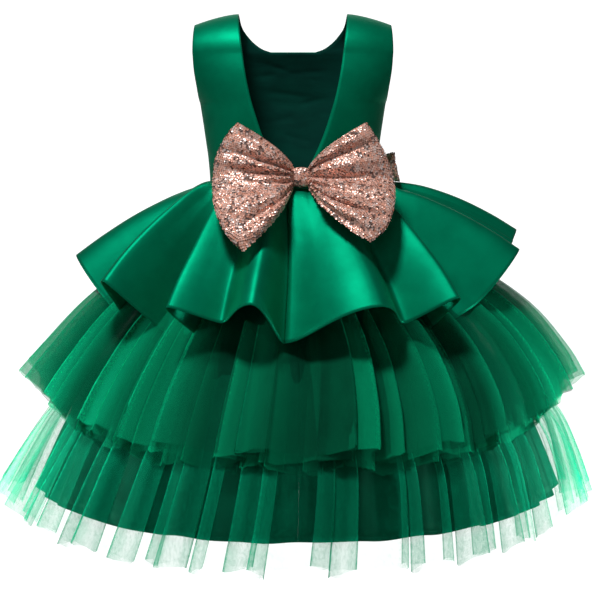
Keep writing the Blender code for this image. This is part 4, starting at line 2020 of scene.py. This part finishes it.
@dataclass(frozen=True)
class BowShape:
    """The sizes of a bow, in millimetres and degrees."""

    centre: tuple[float, float, float]
    facing: float
    knot_width: float
    knot_height: float
    knot_depth: float
    pleats: int
    pleat_depth: float
    puff: float
    fold: float
    swing: float
    lean: tuple[Lean, ...]

    def outward(self) -> np.ndarray:
        """Return the direction that the bow faces."""
        turn = math.radians(self.facing)
        return np.array([math.sin(turn), -math.cos(turn), 0.0])

    def span(self) -> np.ndarray:
        """Return the direction along the bow."""
        turn = math.radians(self.facing)
        return np.array([math.cos(turn), math.sin(turn), 0.0])

    def stand_off(self, heights: np.ndarray) -> np.ndarray:
        """Return how far the bow stands off at some heights.

        Args:
            heights: millimetres above the knot's middle.

        Returns:
            Millimetres.
        """
        levels = np.linspace(self.lean[0].height, self.lean[-1].height, LEAN_STEPS)
        table = [between(self.lean, "height", float(level)).stand_off for level in levels]
        return np.interp(heights, levels, table)

    def place(self, reach: np.ndarray, depth: np.ndarray, height: np.ndarray) -> np.ndarray:
        """Return points in metres from places along, out of and up the bow.

        Args:
            reach: millimetres along the bow.
            depth: millimetres out of it.
            height: millimetres up it.

        Returns:
            The points.
        """
        local = reach[..., None] * self.span() + depth[..., None] * self.outward()
        local[..., 2] += height
        return (local + np.array(self.centre)) * MM


@dataclass
class SequinBow:
    """A bow of sequin cloth: two loops that puff out and a knot strip round their middle."""

    name: str
    shape: BowShape
    cloth: Material
    foil: Material
    loops: tuple[tuple[str, float, tuple[LoopEdge, ...]], ...]
    carrier: str
    wall: float = 0.9 * MM
    ways: int = 46
    rows: int = 60
    spread: float = 0.66
    clearance: float = 0.5
    least_depth: float = 1.45
    lean_ramp: float = 5.5
    taper: float = 0.12
    thickness: float = 1.5
    room: float = 0.6
    squareness: float = 2.5
    puff_narrowing: float = 0.45
    back_puff: float = 0.12
    back_pleat: float = 0.4
    puff_power: float = 0.8
    pleat_fade: float = 2.2
    pleat_rise: float = 0.45
    pleat_fall: float = 0.9
    pleat_sway: float = 0.09
    sway_waves: float = 4.3
    sway_phase: float = 1.7
    crumple_waves: tuple[float, float] = (9.0, 7.0)
    pinches: float = 2.3
    crumple: float = 1.1
    knot_columns: int = 25
    knot_rows: int = 41
    knot_ripple: float = 0.045
    knot_ripples: float = 3.1
    knot_sway: float = 0.6
    knot_seed: int = 9
    sequin_pitch: float = 2.35 * MM
    sequin_radius: float = 1.5 * MM
    sequin_cup: float = 0.35 * MM
    sequin_lift: float = 0.55 * MM
    sequin_tilt: float = 0.12
    sequin_sides: int = 7
    sequin_detail: int = 3
    patch_waves: tuple[tuple[float, float, float], ...] = ((190.0, 90.0, 1.3), (70.0, 230.0, 0.5))
    # Flipped sequins tilt further, and are painted dark as painted shade for sequins that reflect
    # no light.
    flipped_from: float = 0.2
    flipped_share: float = 0.3
    stray_share: float = 0.05
    flipped_tilt: float = 3.0
    flipped_painted_shade: float = 0.16
    least_tone: float = 0.2
    tone_shape: float = 2.2
    seed: int = 5

    def root_size(self) -> tuple[float, float]:
        """Return the half height and half depth of the loops inside the knot.

        Returns:
            Both in millimetres.
        """
        inside = 1 - self.taper
        height = self.shape.knot_height / 2 * inside - self.thickness - self.room
        depth = self.shape.knot_depth / 2 * inside - self.thickness
        return height, depth

    def loop_line(
        self, edge: LoopEdge, hand: float, across: float, ways: np.ndarray, layers: np.ndarray
    ) -> np.ndarray:
        """Return the points of one row of a loop.

        Args:
            edge: the outer fold's point in this row.
            hand: which way the loop goes.
            across: the row, from -1 at the bottom to 1 at the top.
            ways: places from the knot to the fold.
            layers: 1 on the outer layer and -1 on the one behind.

        Returns:
            The points in metres.
        """
        shape = self.shape
        root_height, root_depth = self.root_size()
        out = np.maximum(ways, 0.0)
        side = shape.knot_width / 2 + self.clearance
        reach = np.where(ways < 0, 1.0, side + (edge.reach - side) * ways)
        height = root_height * across + (edge.height - root_height * across) * out ** self.spread
        gather = root_depth * max(1 - abs(across) ** self.squareness, 0.0) ** (1 / self.squareness)
        open_fold = np.sqrt(out) * np.sqrt(np.maximum(1 - out ** 4, 0.0))
        gather = max(gather, self.least_depth) * (1 - out) + shape.fold * open_fold
        puff = np.nan_to_num(np.sin(math.pi * out ** self.puff_power) ** self.puff_power)
        puff = shape.puff * puff * (1 - self.puff_narrowing * across * across)
        fade = self.pleat_fade * out ** self.pleat_rise * (1 - out) ** self.pleat_fall
        sway = math.sin(self.sway_waves * across + self.sway_phase * hand)
        uneven = across + self.pleat_sway * sway
        pleat = shape.pleat_depth * math.cos(math.pi * shape.pleats * uneven) * fade
        pinch = math.cos(math.pi * (self.pinches * shape.pleats * across + hand)) * fade / 2
        outward, upward = self.crumple_waves
        crumple = np.sin(outward * out + upward * across + hand) * open_fold
        pinch = self.crumple * (pinch + crumple)
        depth = shape.stand_off(height) * np.minimum(out * self.lean_ramp, 1) + shape.swing * out
        front = depth + gather + puff + pleat + pinch
        back = depth - (gather + self.back_puff * puff - self.back_pleat * pleat)
        return shape.place(hand * reach, np.where(layers > 0, front, back), height)

    def loop_grid(self, edges: Sequence[LoopEdge], hand: float) -> Grid:
        """Return a loop's outer face, from the knot over the fold and back.

        Args:
            edges: the outer fold's points, bottom first.
            hand: which way the loop goes.

        Returns:
            The points, top row first.
        """
        turn = np.linspace(0, 1, self.ways) ** 0.9
        ways = np.concatenate([[-1.0], turn, turn[-2::-1], [-1.0]])
        layers = np.concatenate([np.ones(self.ways + 1), -np.ones(self.ways)])
        lines = []
        for across in np.linspace(1, -1, self.rows):
            edge = between(edges, "place", float(across))
            line = self.loop_line(edge, hand, float(across), ways, layers)
            lines.append(line if hand > 0 else line[::-1])
        return np.array(lines)

    def knot_grid(self) -> Grid:
        """Return the knot's outer face, a strip round the loops with three soft folds.

        Returns:
            The points.
        """
        shape = self.shape
        share = 2 / self.squareness
        places = np.linspace(-1, 1, self.knot_columns)
        taper = 1 - self.taper * places * places
        lines = []
        for turn in np.linspace(0, TURN, self.knot_rows):
            phase = self.knot_sway * math.sin(turn)
            ripple = 1 + self.knot_ripple * np.cos(math.pi * self.knot_ripples * places + phase)
            tall = signed_power(np.array(math.cos(turn)), share)
            deep = signed_power(np.array(math.sin(turn)), share)
            up = shape.knot_height / 2 * taper * tall
            out = shape.knot_depth / 2 * taper * ripple * deep
            lines.append(shape.place(places * shape.knot_width / 2, out, up))
        return np.array(lines)

    def sequin_places(self, grid: Grid) -> tuple[np.ndarray, np.ndarray]:
        """Return the middles and facings of sequins that cover a face evenly.

        Args:
            grid: the cloth's face.

        Returns:
            Two tables with a row for each sequin.
        """
        fine = refine(grid, self.sequin_detail)
        near = list(product((-1, 0, 1), repeat=3))
        taken: dict[tuple[int, int, int], list[tuple[np.ndarray, np.ndarray]]] = {}
        found = []
        for point, direction in zip(fine.reshape(-1, 3), grid_normals(fine).reshape(-1, 3)):
            x, y, z = (int(value) for value in np.floor(point / self.sequin_pitch))
            close = [
                other
                for right, back, up in near
                for other in taken.get((x + right, y + back, z + up), ())
            ]
            if not any(
                math.dist(point, place) < self.sequin_pitch and np.dot(direction, facing) > 0
                for place, facing in close
            ):
                taken.setdefault((x, y, z), []).append((point, direction))
                found.append((point, direction))
        centres, facings = np.array(found).transpose(1, 0, 2)
        return centres, facings

    def sew_sequins(self, name: str, grid: Grid, seed: int) -> Piece:
        """Cover a face with cupped sequins, each tilted its own way.

        Args:
            name: the piece's name.
            grid: the cloth's face.
            seed: the seed of the tilts and tones.

        Returns:
            The piece.
        """
        centres, facings = self.sequin_places(grid)
        draw = np.random.default_rng(seed)
        count = len(centres)
        x, z = centres[:, 0], centres[:, 2]
        first, second = self.patch_waves
        patch = np.sin(first[0] * x + first[1] * z + first[2] + seed)
        patch = patch * np.sin(second[1] * z - second[0] * x + second[2])
        share = np.where(patch > self.flipped_from, self.flipped_share, self.stray_share)
        flipped = draw.uniform(0, 1, count) < share
        tilt = self.sequin_tilt * np.where(flipped, self.flipped_tilt, 1.0)[:, None]
        facings = unit(facings + draw.normal(0, 1, (count, 3)) * tilt)
        side = unit(np.cross(facings, draw.normal(0, 1, (count, 3))))
        upward = np.cross(facings, side)
        centres = centres + facings * self.sequin_lift
        corners = [centres - facings * self.sequin_cup]
        faces = []
        for k in range(self.sequin_sides):
            turn = TURN * k / self.sequin_sides
            way = math.cos(turn) * side + math.sin(turn) * upward
            corners.append(centres + self.sequin_radius * way)
            faces.append((0, 1 + k, 1 + (k + 1) % self.sequin_sides))
        points = np.stack(corners, axis=1).reshape(-1, 3)
        step = self.sequin_sides + 1
        all_faces = (np.arange(count)[:, None, None] * step + np.array(faces)).reshape(-1, 3)
        # Painted shade: flipped sequins get dark tones.
        painted_dark = draw.uniform(0, self.flipped_painted_shade, count)
        bright = draw.beta(self.tone_shape, self.tone_shape, count)
        tone = np.where(flipped, painted_dark, self.least_tone + (1 - self.least_tone) * bright)
        tones = np.stack([tone, draw.uniform(0, 1, count)], axis=1)
        piece = make_object(
            name, points, all_faces, [self.foil], {"tone": np.repeat(tones, step, axis=0)}
        )
        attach(piece, "root")
        LOG.info("%s: %d sequins", name, count)
        return piece

    def make_strip(self, name: str, node: str, grid: Grid, seed: int) -> None:
        """Make one strip of the bow with its sequins.

        Args:
            name: the piece's name.
            node: the solid that it stands for.
            grid: its outer face.
            seed: the seed of its sequins.
        """
        piece = make_shell(name, grid, self.wall, self.cloth, self.cloth)
        sequins = self.sew_sequins(f"{name}_sequins", grid, seed)
        declare_cloth(piece, flat_cut(grid), [node])

    def build(self) -> None:
        """Make the loops and the knot."""
        knot_node = f"{self.name}_knot"
        for number, (side, hand, edges) in enumerate(self.loops):
            grid = self.loop_grid(edges, hand)
            node = f"{self.name}_loop_{side}"
            self.make_strip(f"{node}_cloth", node, grid, self.seed + number)
        grid = self.knot_grid()
        seed = self.seed + self.knot_seed
        self.make_strip(f"{knot_node}_cloth", knot_node, grid, seed)


def refine(grid: Grid, times: int) -> Grid:
    """Return a grid with points added evenly between its own.

    Args:
        grid: the points.
        times: how many steps each one is split into.

    Returns:
        The finer grid.
    """
    rows, columns = grid.shape[:2]
    down = np.linspace(0, rows - 1, (rows - 1) * times + 1)
    across = np.linspace(0, columns - 1, (columns - 1) * times + 1)
    low = np.minimum(down.astype(int), rows - 2)
    part = (down - low)[:, None, None]
    tall = grid[low] * (1 - part) + grid[low + 1] * part
    left = np.minimum(across.astype(int), columns - 2)
    share = (across - left)[None, :, None]
    return tall[:, left] * (1 - share) + tall[:, left + 1] * share


BACK_BOW = BowShape(
    centre=(9.5, -80, -190),
    facing=0,
    knot_width=15.5,
    knot_height=22,
    knot_depth=12,
    pleats=5,
    pleat_depth=4.2,
    puff=14,
    fold=4.5,
    swing=4,
    lean=(
        Lean(-95, 85),
        Lean(-57, 63),
        Lean(-33, 46),
        Lean(-18, 31),
        Lean(-8, 14),
        Lean(0, 4),
        Lean(70, 9),
    ),
)
SIDE_BOW = BowShape(
    centre=(95.6, 36.6, -184),
    facing=115,
    knot_width=9,
    knot_height=16,
    knot_depth=9,
    pleats=2,
    pleat_depth=1.2,
    puff=4,
    fold=3.2,
    swing=8,
    lean=(Lean(-20, 6), Lean(0, 0), Lean(20, 2)),
)
BACK_LEFT_EDGE = (
    LoopEdge(-1, 66, -80),
    LoopEdge(-0.75, 83, -64),
    LoopEdge(-0.4, 97, -38),
    LoopEdge(0, 102, -8),
    LoopEdge(0.4, 99, 22),
    LoopEdge(0.75, 87, 48),
    LoopEdge(1, 74, 63),
)
BACK_RIGHT_EDGE = (
    LoopEdge(-1, 79, -70),
    LoopEdge(-0.75, 95, -57),
    LoopEdge(-0.4, 105, -36),
    LoopEdge(0, 108, -9),
    LoopEdge(0.4, 101, 20),
    LoopEdge(0.75, 87, 47),
    LoopEdge(1, 76, 63),
)
SIDE_EDGE = (
    LoopEdge(-1, 47, -15),
    LoopEdge(-0.4, 49, -8),
    LoopEdge(0.3, 45, 6),
    LoopEdge(1, 37, 19),
)


# The studio


@dataclass(frozen=True)
class SoftBox:
    """A studio light, by its place, the point that it faces and its size, in metres."""

    name: str
    place: tuple[float, float, float]
    target: tuple[float, float, float]
    width: float
    height: float
    power: float
    spread_deg: float = 180.0
    colour: tuple[float, float, float] = (1.0, 1.0, 1.0)

    def build(self) -> None:
        """Hang the light."""
        data = bpy.data.lights.new(self.name, "AREA")
        data.shape = "RECTANGLE"
        data.size = self.width
        data.size_y = self.height
        data.energy = self.power
        data.spread = math.radians(self.spread_deg)
        data.color = self.colour
        light = bpy.data.objects.new(self.name, data)
        light.location = self.place
        way = Vector(self.target) - Vector(self.place)
        light.rotation_euler = way.to_track_quat("-Z", "Y").to_euler()
        bpy.context.collection.objects.link(light)


@dataclass
class Studio:
    """The pale floor that curves up behind, the soft lights and the camera."""

    target: tuple[float, float, float] = (0.0084, 0.0, -0.341)
    distance: float = 3.0
    elevation: float = 5.5
    lens: float = 150.0
    sensor: float = 36.0
    floor_height: float = -0.84
    floor_reach: float = 6.0
    bend_radius: float = 1.6
    floor_rings: int = 8
    floor_sides: int = 96
    bend_rings: int = 12
    wall_heights: tuple[float, ...] = (2.2, 4.0)
    world_colour: Colour = (0.9, 0.95, 0.93, 1.0)
    world_strength: float = 0.01
    clip_end: float = 60.0
    see_through_steps: int = 40
    lights: tuple[SoftBox, ...] = (
        SoftBox("top_box", (-0.5, -1.05, 1.72), (0.0, 0.0, -0.3), 0.4, 0.35, 40.0),
        SoftBox("front_box", (0.0, -2.6, 0.9), (0.0, 0.0, -0.3), 0.9, 0.6, 1.4),
        SoftBox("left_box", (-1.6, -0.2, -0.6), (0.0, 0.0, -0.52), 0.15, 0.15, 0.62, 16.0),
        SoftBox("right_box", (1.6, -0.2, -0.6), (0.0, 0.0, -0.52), 0.15, 0.15, 0.7, 16.0),
        SoftBox("rim_box", (0.0, 1.8, 1.3), (0.0, 0.0, -0.3), 2.2, 0.8, 1.5),
    )

    def build_floor(self) -> None:
        """Lay the paper sweep: flat under the gown and curved up all round."""
        low = self.floor_height
        rings = [
            (radius, low)
            for radius in np.linspace(0, self.floor_reach, self.floor_rings + 1)[1:]
        ]
        for turn in np.linspace(0, math.pi / 2, self.bend_rings + 1)[1:]:
            radius = self.floor_reach + self.bend_radius * math.sin(turn)
            rings.append((radius, low + self.bend_radius * (1 - math.cos(turn))))
        rings += [(self.floor_reach + self.bend_radius, height) for height in self.wall_heights]
        sides = self.floor_sides
        points = [(0.0, 0.0, low)]
        faces = []
        for number, (radius, height) in enumerate(rings):
            first = len(points)
            for k in range(sides):
                turn = TURN * k / sides
                points.append((radius * math.cos(turn), radius * math.sin(turn), height))
                following = first + (k + 1) % sides
                if number == 0:
                    faces.append((0, first + k, following))
                else:
                    faces.append((first - sides + k, first + k, following, following - sides))
        mesh = bpy.data.meshes.new("paper_sweep")
        mesh.from_pydata(points, [], faces)
        mesh.materials.append(StudioPaper().build())
        mesh.shade_smooth()
        floor = bpy.data.objects.new("paper_sweep", mesh)
        bpy.context.collection.objects.link(floor)

    def build_world(self) -> None:
        """Give the room a dim even light."""
        world = bpy.data.worlds.new("studio")
        world.use_nodes = True
        background = world.node_tree.nodes["Background"]
        background.inputs["Color"].default_value = self.world_colour
        background.inputs["Strength"].default_value = self.world_strength
        bpy.context.scene.world = world

    def build_camera(self) -> None:
        """Set the camera at the photograph's angle."""
        tilt = math.radians(self.elevation)
        data = bpy.data.cameras.new("camera")
        data.lens = self.lens
        data.sensor_width = self.sensor
        data.clip_end = self.clip_end
        camera = bpy.data.objects.new("camera", data)
        camera.location = (
            self.target[0],
            self.target[1] - self.distance * math.cos(tilt),
            self.target[2] + self.distance * math.sin(tilt),
        )
        camera.rotation_euler = (math.pi / 2 - tilt, 0.0, 0.0)
        bpy.context.collection.objects.link(camera)
        bpy.context.scene.camera = camera

    def build(self) -> None:
        """Set up the studio."""
        self.build_floor()
        self.build_world()
        self.build_camera()
        for light in self.lights:
            light.build()
        bpy.context.scene.view_settings.view_transform = "Standard"
        bpy.context.scene.cycles.transparent_max_bounces = self.see_through_steps


# The whole gown


def layer_nodes(layer: str) -> tuple[str, ...]:
    """Return the names of a skirt layer's three solids."""
    return tuple(f"{layer}_{panel}" for panel in ("back_left", "back_right", "front"))


def main() -> None:
    """Build the gown and its studio."""
    logging.basicConfig(level=logging.INFO, format="%(name)s: %(message)s")
    satin = Satin().build()
    thread = SewingThread().build()
    lining = Lining().build()
    backing = BowBacking().build()
    foil = SequinFoil().build()
    Studio().build()
    Bodice(satin, lining).build()
    Flounce(satin, thread).build()
    # Painted shade: a darker, duller copy of the emerald satin for the underskirt, standing in for
    # the shadow of the tiers over it.
    painted_shade_satin = Satin(
        name="underskirt_satin",
        colour=(0.0, 0.065, 0.033, 1.0),
        shade=(0.0, 0.035, 0.018, 1.0),
        roughness=0.6,
        metallic=0.3,
    )
    Underskirt(painted_shade_satin.build(), thread).build()
    TulleTier(
        name="upper_tulle",
        net=Tulle("upper_tulle", cover=0.42, moire_cover=0.1).build(),
        form=UPPER_FORM,
        nodes=layer_nodes("net_upper"),
        carrier="bodice_front",
        counts=(28, 36, 48),
        lap=4.6,
        stand=14.0,
        belly=5.0,
        waves=20,
        wave_reach=9.0,
        seed=101,
        lifts=(1.0, -7.0, -14.0),
        extra_drops=(0.0, 5.0, 11.0),
        flare=9.0,
    ).build()
    TulleTier(
        name="lower_tulle",
        net=Tulle(
            "lower_tulle",
            colour=(0.0, 0.50, 0.24, 1.0),
            # the dark end of this net's painted shade
            shade=(0.0, 0.10, 0.05, 1.0),
            cover=0.05,
            crease_cover=0.57,
            mesh_cover=0.07,
            moire_cover=0.13,
            # a painted glow on the net's free band, standing in for backlight
            through=0.4,
        ).build(),
        form=LOWER_FORM,
        nodes=layer_nodes("net_lower"),
        carrier="underskirt_front_left",
        counts=(36, 27),
        lap=3.4,
        stand=8.0,
        waves=30,
        lap_density=0.14,
        lap_painted_shade=0.2,
        seed=201,
        lifts=(1.0, -8.0),
        extra_drops=(0.0, -6.0),
        flare=6.0,
    ).build()
    SequinBow(
        name="bow",
        shape=BACK_BOW,
        cloth=backing,
        foil=foil,
        loops=(("left", -1.0, BACK_LEFT_EDGE), ("right", 1.0, BACK_RIGHT_EDGE)),
        carrier="bodice_back_left",
    ).build()
    SequinBow(
        name="side_bow",
        shape=SIDE_BOW,
        cloth=backing,
        foil=foil,
        loops=(("back", -1.0, SIDE_EDGE), ("front", 1.0, SIDE_EDGE)),
        carrier="bodice_front",
        ways=22,
        rows=26,
        seed=55,
    ).build()


if __name__ == "__main__":
    main()
